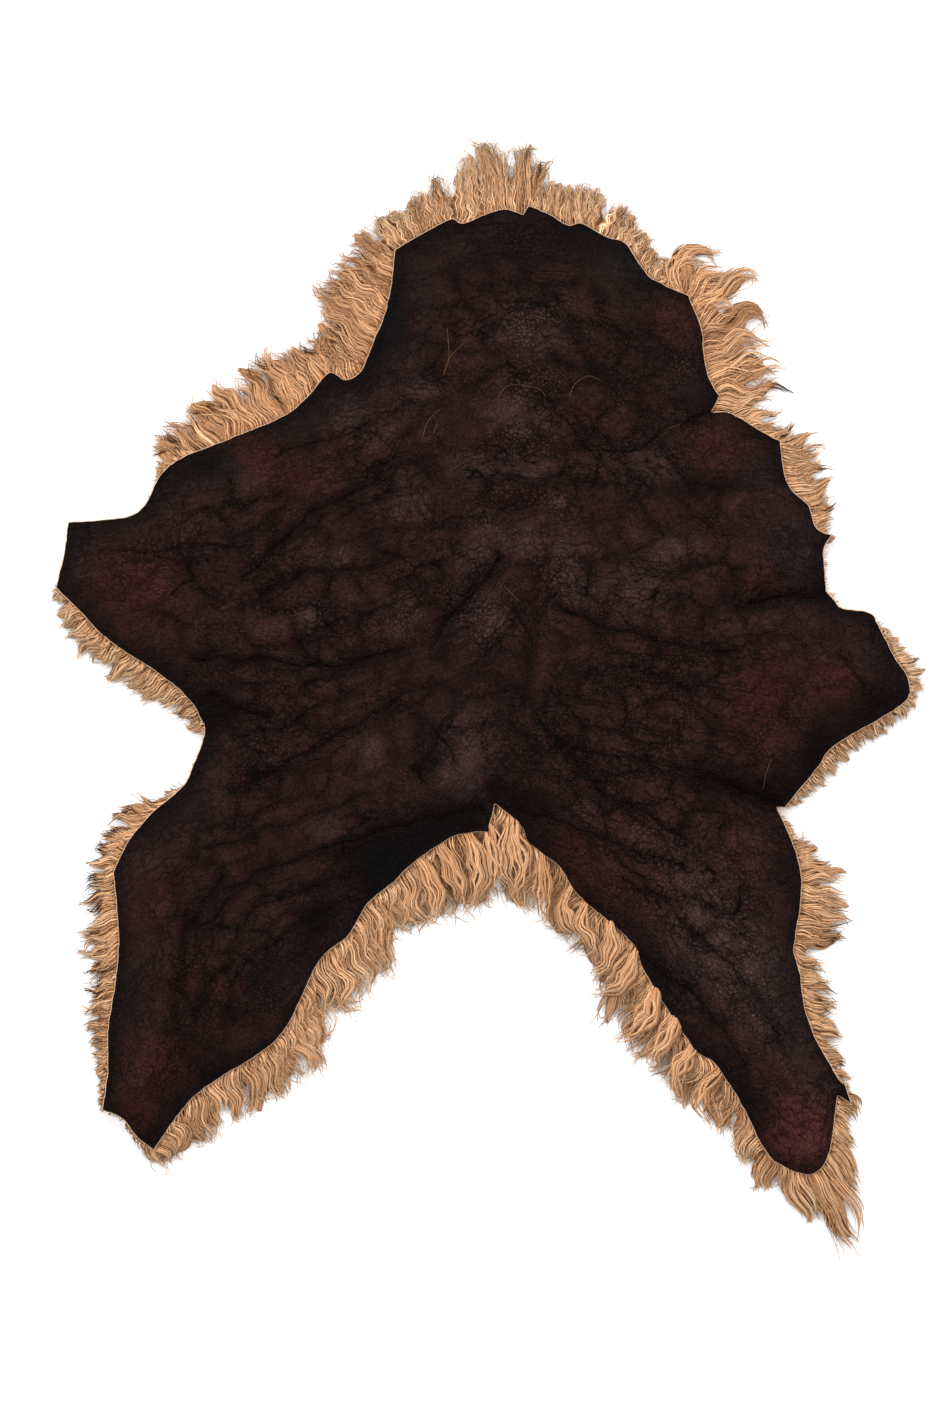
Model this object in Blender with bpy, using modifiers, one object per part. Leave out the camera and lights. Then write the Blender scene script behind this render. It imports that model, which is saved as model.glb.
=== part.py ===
"""Curly sheepskin that lies leather side up on its own fleece.

Metres, +Z up. The origin is on the surface that it lies on, under the middle of the hide, and +Y points
to the neck. Tables are in millimetres and degrees, as a tanner would note them on the flat skin.
"""

import math
from typing import NamedTuple

import bmesh
import bpy
from mathutils import Vector, geometry, kdtree, noise

MM = 0.001

HIDE_THICKNESS = 2.0 * MM
SEAT_GAP = 0.34 * MM

PILE_MIDDLE = 31 * MM
PILE_EDGE = 13 * MM
EDGE_FALL = 62 * MM

EDGE_STEP = 13.5 * MM
INNER_STEP = 33 * MM
INNER_MARGIN = 13 * MM
FOLD_STEP = 26 * MM
FOLD_SIDE = 1.3
FOLD_FADE = 0.7
LEAST_SPACING = 15 * MM
MERGE = 0.001 * MM
UPRIGHT = 0.0001

SWELL = 5.0 * MM
SWELL_SPAN = 115 * MM
RIPPLE = 2.0 * MM
RIPPLE_SPAN = 46 * MM
EDGE_SWELL = 0.35
EDGE_FOLD = 0.4

SKIRT_SHARES = (0.24, 0.58)
SKIRT_FALLS = (0.76, 0.48)
SKIRT_LEAST = 1.5 * MM
SKIRT_LUMP = 0.24
SKIRT_SPAN = 23 * MM

LOCK_LEAST_REACH = 12 * MM
LOCK_LEAST_WIDTH = 4.5 * MM
LOCK_TIP = 0.15
LOCK_TAPER = 1.1
LOCK_CROWN = 0.62
LOCK_SWAY = 3.0 * MM
LOCK_WAVE = 52 * MM
LOCK_PHASE = 0.35
LOCK_STEPS = 4
LENGTH_PATTERN = (1.0, 0.88, 1.05, 0.94, 0.82, 1.02, 0.9)

LEATHER_COLOUR = (0.030, 0.017, 0.014, 1.0)
LEATHER_ROUGHNESS = 0.5
WOOL_COLOUR = (0.60, 0.37, 0.20, 1.0)
WOOL_ROUGHNESS = 0.9


class Edge(NamedTuple):
    """A turn of the hide's edge, and how far and which way the wool reaches past it there."""

    x: float
    y: float
    reach: float
    lay: float
    corner: bool = False


class Fold(NamedTuple):
    """A crease (negative rise) or ridge (positive rise) of the hide, along a straight run."""

    x0: float
    y0: float
    x1: float
    y1: float
    width: float
    rise: float


NECK = (
    Edge(-90, 443, 49, 134, True),
    Edge(-62, 459, 42, 114),
    Edge(-34, 474, 50, 112),
    Edge(-21, 470, 66, 98),
    Edge(8, 481, 82, 92),
    Edge(24, 484, 74, 90),
    Edge(39, 478, 72, 86, True),
    Edge(45, 487, 70, 84, True),
    Edge(66, 479, 38, 82),
    Edge(84, 468, 50, 84),
    Edge(99, 469, 50, 78),
    Edge(123, 456, 46, 70),
    Edge(142, 450, 34, 60),
    Edge(164, 419, 28, 50),
    Edge(183, 407, 34, 56),
)

RIGHT_SHOULDER = (
    Edge(206, 397, 58, 46, True),
    Edge(219, 363, 80, 14),
    Edge(222, 333, 78, 10),
    Edge(229, 309, 82, 6),
    Edge(237, 296, 76, 4, True),
    Edge(230, 280, 80, 0, True),
    Edge(248, 279, 62, -2),
    Edge(280, 260, 38, 4),
    Edge(298, 251, 44, 12, True),
    Edge(301, 227, 54, 14),
    Edge(307, 205, 50, 12),
    Edge(326, 186, 32, 14),
    Edge(335, 163, 20, 4),
    Edge(350, 156, 5, 0, True),
    Edge(342, 139, 14, 0),
)

RIGHT_FORELEG = (
    Edge(345, 100, 12, 6, True),
    Edge(352, 91, 8, 12),
    Edge(360, 83, 2, 20),
    Edge(385, 79, 1, 40),
    Edge(393, 74, 2, 40, True),
    Edge(413, 33, 26, 18),
    Edge(424, 18, 24, 8),
    Edge(430, -3, 14, -14, True),
    Edge(416, -18, 16, -40),
    Edge(353, -56, 24, -40),
    Edge(335, -79, 24, -34),
    Edge(303, -118, 8, -40, True),
)

RIGHT_FLANK = (
    Edge(295, -118, 4, -20, True),
    Edge(306, -143, 9, 0),
    Edge(316, -169, 34, 12),
    Edge(320, -200, 60, -8),
    Edge(314, -246, 60, -18),
    Edge(312, -263, 40, -30),
    Edge(318, -285, 38, -22),
    Edge(327, -334, 46, -22),
    Edge(357, -391, 15, -34),
)

RIGHT_HIND_LEG = (
    Edge(362, -394, 12, -36, True),
    Edge(371, -417, 8, -44, True),
    Edge(356, -408, 24, -38, True),
    Edge(348, -463, 58, -52),
    Edge(337, -483, 98, -61),
    Edge(321, -487, 86, -60),
    Edge(287, -469, 44, -78),
    Edge(257, -414, 50, -106),
    Edge(232, -376, 62, -106),
    Edge(209, -358, 66, -106),
    Edge(162, -285, 72, -112),
    Edge(148, -254, 82, -108),
    Edge(95, -207, 58, -106),
    Edge(76, -178, 64, -104),
)

TAIL = (
    Edge(46, -155, 68, -98),
    Edge(36, -136, 78, -94),
    Edge(11, -114, 98, -90, True),
    Edge(5, -142, 84, -92, True),
    Edge(-31, -148, 96, -90),
)

LEFT_HIND_LEG = (
    Edge(-73, -176, 76, -84),
    Edge(-94, -196, 62, -80),
    Edge(-118, -216, 66, -74),
    Edge(-136, -246, 76, -74),
    Edge(-167, -275, 82, -76),
    Edge(-207, -350, 62, -68),
    Edge(-288, -406, 54, -72),
    Edge(-332, -463, 32, -66, True),
)

LEFT_FLANK = (
    Edge(-348, -450, 4, -100),
    Edge(-363, -432, 2, -140),
    Edge(-384, -422, 4, 200, True),
    Edge(-379, -385, 14, 188),
    Edge(-378, -338, 24, 190),
    Edge(-370, -287, 40, 192),
    Edge(-368, -241, 46, 190),
    Edge(-373, -182, 32, 190, True),
    Edge(-357, -151, 34, 174),
    Edge(-336, -125, 46, 176),
    Edge(-306, -99, 16, 184),
    Edge(-297, -86, 2, 190),
    Edge(-283, -50, 2, 200),
)

LEFT_FORELEG = (
    Edge(-282, -35, 12, 206, True),
    Edge(-306, 0, 40, 204),
    Edge(-381, 53, 36, 210),
    Edge(-405, 78, 32, 206),
    Edge(-431, 103, 6, 216, True),
    Edge(-422, 139, 0, 190),
    Edge(-418, 169, 0, 150, True),
    Edge(-351, 178, 0, 120),
)

LEFT_SHOULDER = (
    Edge(-324, 219, 8, 172),
    Edge(-300, 236, 38, 166),
    Edge(-272, 247, 58, 142),
    Edge(-206, 274, 76, 126),
    Edge(-182, 291, 70, 121),
    Edge(-157, 319, 40, 118),
    Edge(-139, 313, 66, 126),
    Edge(-124, 321, 80, 132),
    Edge(-114, 345, 86, 141),
    Edge(-102, 372, 82, 144),
    Edge(-94, 406, 66, 149),
)

EDGES = (
    NECK
    + RIGHT_SHOULDER
    + RIGHT_FORELEG
    + RIGHT_FLANK
    + RIGHT_HIND_LEG
    + TAIL
    + LEFT_HIND_LEG
    + LEFT_FLANK
    + LEFT_FORELEG
    + LEFT_SHOULDER
)

FOLDS = (
    Fold(345, 98, 256, 84, 16, -9),
    Fold(318, 124, 236, 122, 20, 5),
    Fold(238, 285, 116, 250, 17, -8),
    Fold(250, 258, 150, 226, 20, 5),
    Fold(299, -118, 222, -84, 16, -9),
    Fold(-283, -42, -206, -32, 17, -8),
    Fold(11, -112, -14, 50, 19, -7),
    Fold(-150, 312, -64, 270, 18, -7),
    Fold(404, -12, 338, -44, 16, 5),
    Fold(-300, 66, -110, 94, 19, -4),
    Fold(-230, -330, -120, -150, 20, -5),
    Fold(190, -310, 84, -124, 20, -5),
    Fold(-20, 182, 124, 170, 21, -4),
    Fold(-46, 90, -150, 190, 20, 4),
)


class Rim(NamedTuple):
    """A sample of the edge in metres, with the wool's reach there as a vector."""

    place: Vector
    wool: Vector


def wool_vector(edge):
    lay = math.radians(edge.lay)
    return Vector((math.cos(lay), math.sin(lay))) * edge.reach * MM


def spline_point(before, start, end, after, t):
    """Catmull-Rom, so that the edge passes through each row of the tables."""
    return 0.5 * (
        2 * start
        + (end - before) * t
        + (2 * before - 5 * start + 4 * end - after) * t**2
        + (3 * start - before - 3 * end + after) * t**3
    )


def rim_samples():
    """The hide's edge, clockwise from above. A corner row ends one curve and starts the next."""
    samples = []
    places = [Vector((edge.x, edge.y)) * MM for edge in EDGES]
    for i, edge in enumerate(EDGES):
        j = (i + 1) % len(EDGES)
        start, end = places[i], places[j]
        before = start if edge.corner else places[i - 1]
        after = end if EDGES[j].corner else places[(j + 1) % len(EDGES)]
        steps = max(1, round((end - start).length / EDGE_STEP))
        for step in range(steps):
            t = step / steps
            wool = wool_vector(edge).lerp(wool_vector(EDGES[j]), t)
            samples.append(Rim(spline_point(before, start, end, after, t), wool))
    return samples


def outward(rim, i):
    """The edge's outward normal at sample i of a clockwise run."""
    along = rim[(i + 1) % len(rim)].place - rim[i - 1].place
    return Vector((-along.y, along.x)).normalized()


def smooth(t):
    t = min(max(t, 0.0), 1.0)
    return t * t * (3 - 2 * t)


def fold_run(fold):
    """Where a fold starts, and its run from there."""
    start = Vector((fold.x0, fold.y0)) * MM
    return start, Vector((fold.x1, fold.y1)) * MM - start


def fold_rise(place):
    """The sum of the creases and ridges, each fading across its width and towards its far end."""
    rise = 0.0
    for fold in FOLDS:
        start, run = fold_run(fold)
        t = min(max((place - start).dot(run) / run.length_squared, 0.0), 1.0)
        off = (place - start - run * t).length / (fold.width * MM)
        rise += fold.rise * MM * math.exp(-off * off) * (1 - FOLD_FADE * smooth(t))
    return rise


def swell(place):
    """Slow unevenness of the pile under the hide."""
    slow = noise.noise(Vector((place.x, place.y, 0.0)) / SWELL_SPAN)
    quick = noise.noise(Vector((place.x, place.y, 0.3)) / RIPPLE_SPAN)
    return SWELL * slow + RIPPLE * quick


class Ground:
    """Height of the hide's underside over the surface, from its distance to the edge."""

    def __init__(self, rim):
        self.edge = kdtree.KDTree(len(rim))
        for i, sample in enumerate(rim):
            self.edge.insert((*sample.place, 0.0), i)
        self.edge.balance()

    def edge_distance(self, place):
        return self.edge.find((*place, 0.0))[2]

    def height(self, place):
        rise = smooth(self.edge_distance(place) / EDGE_FALL)
        body = PILE_EDGE + (PILE_MIDDLE - PILE_EDGE) * rise
        swelling = EDGE_SWELL + (1 - EDGE_SWELL) * rise
        folding = EDGE_FOLD + (1 - EDGE_FOLD) * rise
        return body + swelling * swell(place) + folding * fold_rise(place)


def fold_points():
    """Points along each fold: its middle first, then both its sides."""
    middles, sides = [], []
    for fold in FOLDS:
        start, run = fold_run(fold)
        aside = Vector((-run.y, run.x)).normalized() * fold.width * MM * FOLD_SIDE
        count = round(run.length / FOLD_STEP)
        for i in range(count + 1):
            spot = start + run * i / count
            middles.append(spot)
            sides += [spot + aside, spot - aside]
    return middles + sides


def grid_points(loop):
    """A staggered grid over the whole hide."""
    low = Vector((min(p.x for p in loop), min(p.y for p in loop)))
    high = Vector((max(p.x for p in loop), max(p.y for p in loop)))
    row_step = INNER_STEP * math.sqrt(3) / 2
    points = []
    for row in range(int((high.y - low.y) / row_step) + 1):
        shift = INNER_STEP / 2 * (row % 2)
        for column in range(int((high.x - low.x) / INNER_STEP) + 1):
            points.append(Vector((low.x + shift + column * INNER_STEP, low.y + row * row_step)))
    return points


def inner_points(rim, ground):
    """Points inside the edge, none of them close to another."""
    loop = [sample.place for sample in rim]
    points = []
    for place in fold_points() + grid_points(loop):
        if ground.edge_distance(place) < INNER_MARGIN or not is_inside(place, loop):
            continue
        if all((place - other).length > LEAST_SPACING for other in points):
            points.append(place)
    return points


def is_inside(place, loop):
    """Counts the edge's crossings of a ray along +X."""
    inside = False
    for a, b in zip(loop, loop[1:] + loop[:1]):
        if (a.y > place.y) != (b.y > place.y):
            if place.x < a.x + (place.y - a.y) / (b.y - a.y) * (b.x - a.x):
                inside = not inside
    return inside


def flat_hide(rim, ground):
    """The hide as a flat triangulated bmesh. The layer "edge" holds each vertex's sample of the edge."""
    loop = [sample.place for sample in rim]
    points = loop + inner_points(rim, ground)
    outline = list(range(len(loop)))[::-1]
    places, _, faces, sources, *_ = geometry.delaunay_2d_cdt(points, [], [outline], 1, MERGE)
    flat = bmesh.new()
    edge = flat.verts.layers.int.new("edge")
    for place, source in zip(places, sources):
        flat.verts.new((*place, 0.0))[edge] = source[0]
    flat.verts.ensure_lookup_table()
    for face in faces:
        flat.faces.new([flat.verts[i] for i in face])
    flat.normal_update()
    for face in flat.faces:
        if face.normal.z < 0:
            face.normal_flip()
    return flat


def verts_of(geometry_list):
    return [item for item in geometry_list if isinstance(item, bmesh.types.BMVert)]


def object_from(name, shape, material, collection):
    mesh = bpy.data.meshes.new(name)
    shape.to_mesh(mesh)
    shape.free()
    made = bpy.data.objects.new(name, mesh)
    made.data.materials.append(material)
    collection.objects.link(made)
    return made


def add_hide(rim, ground, material, collection):
    """One leather sheet, thickened upwards from its underside."""
    sheet = flat_hide(rim, ground)
    for vert in sheet.verts:
        vert.co.z = ground.height(vert.co.xy)
    hide = object_from("hide", sheet, material, collection)
    solidify = hide.modifiers.new("thickness", "SOLIDIFY")
    solidify.thickness = HIDE_THICKNESS
    solidify.offset = 1.0
    return hide


def skirt_place(rim, i, share):
    """Where the fleece's skirt stands, at a share of the wool's reach past sample i of the edge."""
    lump = 1 + SKIRT_LUMP * noise.noise(Vector((*rim[i].place, 0.0)) / SKIRT_SPAN)
    least = outward(rim, i) * SKIRT_LEAST * share / SKIRT_SHARES[-1]
    return rim[i].place + rim[i].wool * share * lump + least


def add_fleece(rim, ground, material, collection):
    """The wool under the hide: flat below, following the hide above, with a sloping skirt and locks."""
    slab = flat_hide(rim, ground)
    edge = slab.verts.layers.int["edge"]
    top = slab.verts.layers.float.new("top")
    for vert in slab.verts:
        vert[top] = ground.height(vert.co.xy) - SEAT_GAP
    for share, fall in zip(SKIRT_SHARES, SKIRT_FALLS):
        border = [run for run in slab.edges if run.is_boundary]
        for vert in verts_of(bmesh.ops.extrude_edge_only(slab, edges=border)["geom"]):
            i = vert[edge]
            vert.co.xy = skirt_place(rim, i, share)
            vert[top] = (ground.height(rim[i].place) - SEAT_GAP) * fall
    lifted = bmesh.ops.extrude_face_region(slab, geom=slab.faces[:], use_keep_orig=True)
    for vert in verts_of(lifted["geom"]):
        vert.co.z = vert[top]
    bmesh.ops.recalc_face_normals(slab, faces=slab.faces)
    grow_locks(slab, rim, edge)
    foot = [face for face in slab.faces if all(vert.co.z == 0 for vert in face.verts)]
    bmesh.ops.dissolve_faces(slab, faces=foot)
    return object_from("fleece", slab, material, collection)


def grow_locks(slab, rim, edge):
    """Draws each long enough piece of the skirt's wall out into a tapering lock with a flat foot."""
    slab.normal_update()
    walls = [face for face in slab.faces if abs(face.normal.z) < UPRIGHT]
    walls.sort(key=lambda wall: first_sample(wall, edge, len(rim)))
    for number, wall in enumerate(walls):
        i = first_sample(wall, edge, len(rim))
        lock = Lock(rim, i, number)
        if lock.reach < LOCK_LEAST_REACH or lock.width < LOCK_LEAST_WIDTH:
            continue
        height = max(vert.co.z for vert in wall.verts)
        for step in range(1, LOCK_STEPS + 1):
            wall = bmesh.ops.extrude_discrete_faces(slab, faces=[wall])["faces"][0]
            for vert in wall.verts:
                side = -1 if vert[edge] == i else 1
                vert.co = lock.corner(step / LOCK_STEPS, side, vert.co.z > 0, height)


def first_sample(wall, edge, count):
    """The edge's sample at which a piece of wall starts, clockwise."""
    low, high = sorted({vert[edge] for vert in wall.verts})
    return low if high - low == 1 else high % count


class Lock:
    """A lock that starts as the wall between samples i and i + 1 of the edge."""

    def __init__(self, rim, i, number):
        j = (i + 1) % len(rim)
        start, end = (skirt_place(rim, k, SKIRT_SHARES[-1]) for k in (i, j))
        wool = rim[i].wool.lerp(rim[j].wool, 0.5)
        self.reach = wool.length
        self.along = wool.normalized()
        self.across = Vector((self.along.y, -self.along.x))
        self.root = start.lerp(end, 0.5)
        self.chord = end - start
        self.width = self.chord.dot(self.across)
        share = LENGTH_PATTERN[number % len(LENGTH_PATTERN)] - SKIRT_SHARES[-1]
        self.length = self.reach * share
        self.phase = LOCK_PHASE * number

    def corner(self, t, side, is_top, height):
        """A corner of the lock's section at t from root to tip. Sections stay parallel to the wall."""
        out = self.length * t
        sway = LOCK_SWAY * t * math.sin(math.tau * out / LOCK_WAVE + self.phase)
        taper = 1 - (1 - LOCK_TIP) * t**LOCK_TAPER
        half = taper * (LOCK_CROWN if is_top else 1) / 2
        spot = self.root + self.along * out + self.across * sway + self.chord * side * half
        return Vector((*spot, height * taper if is_top else 0.0))


def make_material(name, colour, roughness):
    material = bpy.data.materials.new(name)
    material.use_nodes = True
    shader = material.node_tree.nodes["Principled BSDF"]
    shader.inputs["Base Color"].default_value = colour
    shader.inputs["Roughness"].default_value = roughness
    shader.inputs["Metallic"].default_value = 0.0
    return material


def make_collection(name):
    collection = bpy.data.collections.new(name)
    bpy.context.scene.collection.children.link(collection)
    return collection


def main():
    for old in list(bpy.data.objects):
        bpy.data.objects.remove(old)
    parts = make_collection("curly_sheepskin")
    leather = make_material("leather", LEATHER_COLOUR, LEATHER_ROUGHNESS)
    wool = make_material("wool", WOOL_COLOUR, WOOL_ROUGHNESS)
    rim = rim_samples()
    ground = Ground(rim)
    add_hide(rim, ground, leather, parts)
    add_fleece(rim, ground, wool, parts)


main()
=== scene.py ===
"""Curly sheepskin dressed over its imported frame: creased leather, the wool under it and its locks.

Metres, +Z up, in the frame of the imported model. The edge tables are in millimetres and degrees on the
flat skin. Creases and patches are noted where they lie on the photograph, at one pixel a millimetre.
"""

import math
from collections import namedtuple
from functools import cached_property, reduce

import bpy
import numpy as np
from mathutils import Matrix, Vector, geometry, kdtree, noise


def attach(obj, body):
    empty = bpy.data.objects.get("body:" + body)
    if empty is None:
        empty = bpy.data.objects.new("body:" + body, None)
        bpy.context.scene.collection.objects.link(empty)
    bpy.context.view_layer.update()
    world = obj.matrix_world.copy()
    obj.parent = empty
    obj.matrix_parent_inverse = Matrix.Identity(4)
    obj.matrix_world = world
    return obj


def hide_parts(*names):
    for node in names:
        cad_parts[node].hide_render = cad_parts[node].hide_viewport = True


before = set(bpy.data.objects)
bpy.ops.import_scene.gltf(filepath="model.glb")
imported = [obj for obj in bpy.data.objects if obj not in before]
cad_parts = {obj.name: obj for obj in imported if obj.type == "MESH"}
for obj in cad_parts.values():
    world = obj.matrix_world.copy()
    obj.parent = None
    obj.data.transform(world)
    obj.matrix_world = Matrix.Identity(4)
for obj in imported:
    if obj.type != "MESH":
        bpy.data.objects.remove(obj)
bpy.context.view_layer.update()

MM = 0.001
PHOTO_MIDDLE = (484.0, 690.0)

HIDE_THICKNESS = 2.0 * MM
PILE_MIDDLE = 31 * MM
PILE_EDGE = 13 * MM
EDGE_FALL = 62 * MM
SWELL = 5.0 * MM
SWELL_SPAN = 115 * MM
RIPPLE = 2.0 * MM
RIPPLE_SPAN = 46 * MM
EDGE_SWELL = 0.35
EDGE_FOLD = 0.4
FOLD_FADE = 0.7

RIM_STEP = 2.4 * MM
GRID_STEP = 2.6 * MM
BACK_STEP = 9 * MM
BACK_SINK = 1.8 * MM
GRID_MARGIN = 1.7 * MM
MERGE = 0.001 * MM
EDGE_WOBBLE = 0.8 * MM
CUT_SLOPE = 0.9 * MM
CUT_DROP = 0.25 * MM

CELL_STRETCH = 0.62
CELL_JITTER = 0.42
LARGE_CELL = 46 * MM
SMALL_CELL = 27 * MM
BULGE = 0.8 * MM
BULGE_NOISE = 0.35 * MM
RING_WIDTH = 1.55
TONE_HOLD = 0.85
RIM_HOLD = 0.80
FAR = 99.0

SEAT_GAP = 0.34 * MM
SLAB_INSET = 2.5 * MM
SLAB_STEP = 4.0 * MM
SLAB_GRID = 14 * MM
SKIRT = ((0.09, 0.55), (0.18, 0.38), (0.27, 0.26), (0.36, 0.08))
SLAB_SINK = 4.2 * MM
SLAB_ROOM = 8 * MM

PATH_STEPS = 42
PATH_SHARES = np.arange(PATH_STEPS + 1) / PATH_STEPS
BODY_STEPS = 10
BODY_COLUMNS = 5
BODY_DOME = 2.4 * MM
# How much darker the low bodies under the tufts are: painted shade under the wool above them.
BODY_SHADE = 0.86
BODY_ROUGH = 0.35 * MM
BODY_SINK = 1.2 * MM
BODY_FLOOR = 0.45 * MM
TUFT_DOME = 3.0 * MM
PUFF = 3.5 * MM
TIP_WIDTH = 0.10 * MM
ROOT_DEPTH = 6 * MM
STRAND_FLOOR = 0.5 * MM
CURL_REACH = 35 * MM
LINE_SHIFT = 3.7
LINE_RUN = 1.4
FRIZZ_WAVES = ((16 * MM, 0.6), (8 * MM, 0.4))
RIDGE_SHARE = 0.24
RIDGE_DOME = 1.3 * MM
RIDGE_GAP = 0.24
RIDGES_A_TUFT = 64
HAIRS_A_MESH = 2300
STRAY_STEPS = 14
STRAY_LIFT = 0.35 * MM

CAMERA_HEIGHT = 4.0
CAMERA_PLACE = (-0.010, -0.021, CAMERA_HEIGHT)
SKIN_TOP = 0.035
FRAME_HEIGHT = 1.422
SENSOR_WIDTH = 36.0
LAMP_DISTANCE = 4.2
LAMP_SIZE = 2.2
WORLD_LIGHT = 0.80
FLOOR_SIZE = 12
FLOOR_DROP = 0.2 * MM

# A turn of the hide's edge, and how far and which way the wool reaches past it there.
Edge = namedtuple("Edge", "x y reach lay corner", defaults=(False,))

# How the wool of one part of the skin grows. Sizes are in millimetres, turns in degrees.
Style = namedtuple("Style", "wave span bend curl tuft gather frizz spread fine ragged pale dark")

# One layer of wool: its tufts, their shares of reach and height, and the hairs in them.
Layer = namedtuple("Layer", "name tuft least most reach height density width rise steps loose tone")

# Straight creases (negative rise) and ridges of the whole skin: x0, y0, x1, y1, width and rise.
FOLDS = (
    (345, 98, 256, 84, 16, -9), (318, 124, 236, 122, 20, 5), (238, 285, 116, 250, 17, -8),
    (250, 258, 150, 226, 20, 5), (299, -118, 222, -84, 16, -9), (-283, -42, -206, -32, 17, -8),
    (11, -112, -14, 50, 19, -7), (-150, 312, -64, 270, 18, -7), (404, -12, 338, -44, 16, 5),
    (-300, 66, -110, 94, 19, -4), (-230, -330, -120, -150, 20, -5), (190, -310, 84, -124, 20, -5),
    (-20, 182, 124, 170, 21, -4), (-46, 90, -150, 190, 20, 4),
)

# Creases noted on the photograph: width and depth in millimetres, then the turns.
CREASES = (
    (6.5, 2.6, (829, 593), (790, 597), (751, 601)), (6.0, 2.6, (698, 776), (730, 786), (775, 806)),
    (4.5, 2.0, (212, 694), (234, 710), (268, 716)), (3.0, 1.4, (630, 454), (660, 430), (708, 412)),
    (2.6, 1.0, (585, 448), (624, 454)), (2.6, 1.1, (654, 442), (672, 460), (690, 493)),
    (2.6, 1.0, (618, 451), (630, 472), (648, 490)), (2.8, 1.1, (543, 394), (570, 427), (591, 448)),
    (3.4, 1.8, (440, 625), (452, 617), (488, 575), (498, 556)), (2.6, 1.1, (434, 644), (452, 617)),
    (3.4, 1.7, (561, 607), (594, 622), (630, 634), (685, 649), (737, 652)),
    (3.2, 1.6, (194, 659), (260, 662), (338, 665), (398, 653)),
    (3.0, 1.2, (278, 454), (329, 439), (368, 424)),
    (3.2, 1.4, (242, 577), (278, 544), (320, 508), (380, 478)),
    (3.0, 1.2, (110, 553), (206, 547), (242, 550)), (3.0, 1.2, (260, 595), (308, 574), (380, 565)),
    (2.8, 1.1, (338, 520), (389, 490), (395, 469)), (2.4, 0.8, (404, 382), (490, 370)),
    (2.8, 1.2, (236, 737), (290, 725), (326, 701)),
    (3.0, 1.3, (230, 794), (290, 764), (350, 728), (398, 704)),
    (3.0, 1.3, (212, 848), (290, 824), (368, 797)),
    (3.2, 1.5, (224, 890), (302, 857), (380, 830), (479, 809)),
    (2.8, 1.1, (248, 911), (296, 893), (350, 875)), (2.6, 1.0, (260, 950), (320, 914), (350, 899)),
    (3.0, 1.4, (182, 992), (185, 938), (200, 905), (224, 878)),
    (2.4, 1.0, (174, 1018), (182, 945), (191, 915)), (2.4, 1.0, (195, 1018), (206, 988), (229, 967)),
    (2.4, 0.9, (227, 1005), (242, 967), (268, 945)), (2.8, 1.0, (583, 677), (623, 667), (660, 677)),
    (2.8, 1.1, (525, 692), (528, 649), (516, 609)), (2.6, 1.0, (544, 692), (550, 732), (562, 747)),
    (2.8, 1.1, (553, 747), (593, 752), (642, 761), (703, 769)),
    (3.0, 1.3, (568, 753), (605, 796), (654, 815), (685, 842)),
    (3.0, 1.3, (519, 812), (583, 830), (636, 854), (685, 867)),
    (3.0, 1.3, (602, 805), (608, 848), (642, 882), (685, 925), (712, 950)),
    (2.4, 0.9, (666, 885), (697, 900), (718, 913)),
    (3.0, 1.2, (641, 957), (671, 978), (707, 1007), (725, 1032), (748, 1071)),
    (3.0, 1.2, (716, 951), (748, 987), (780, 1041)), (2.6, 1.0, (625, 883), (675, 905), (707, 944)),
    (2.6, 1.2, (841, 655), (863, 686)), (1.8, 0.9, (866, 704), (900, 683)),
    (1.8, 0.9, (870, 712), (903, 690)), (1.8, 0.8, (862, 696), (893, 676)),
    (2.2, 0.9, (483, 331), (504, 316), (537, 307), (564, 319), (582, 340)),
    (2.4, 0.8, (498, 470), (530, 482), (566, 474), (604, 486)),
    (2.4, 0.8, (420, 540), (452, 520), (486, 516), (520, 500)),
    (2.4, 0.9, (300, 640), (340, 622), (392, 606), (430, 580)),
    (2.4, 0.8, (380, 700), (420, 690), (462, 676), (500, 640)),
    (2.4, 0.8, (430, 770), (440, 730), (470, 700), (520, 690)),
    (2.4, 0.8, (630, 560), (668, 574), (706, 560), (740, 570)),
)
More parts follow.
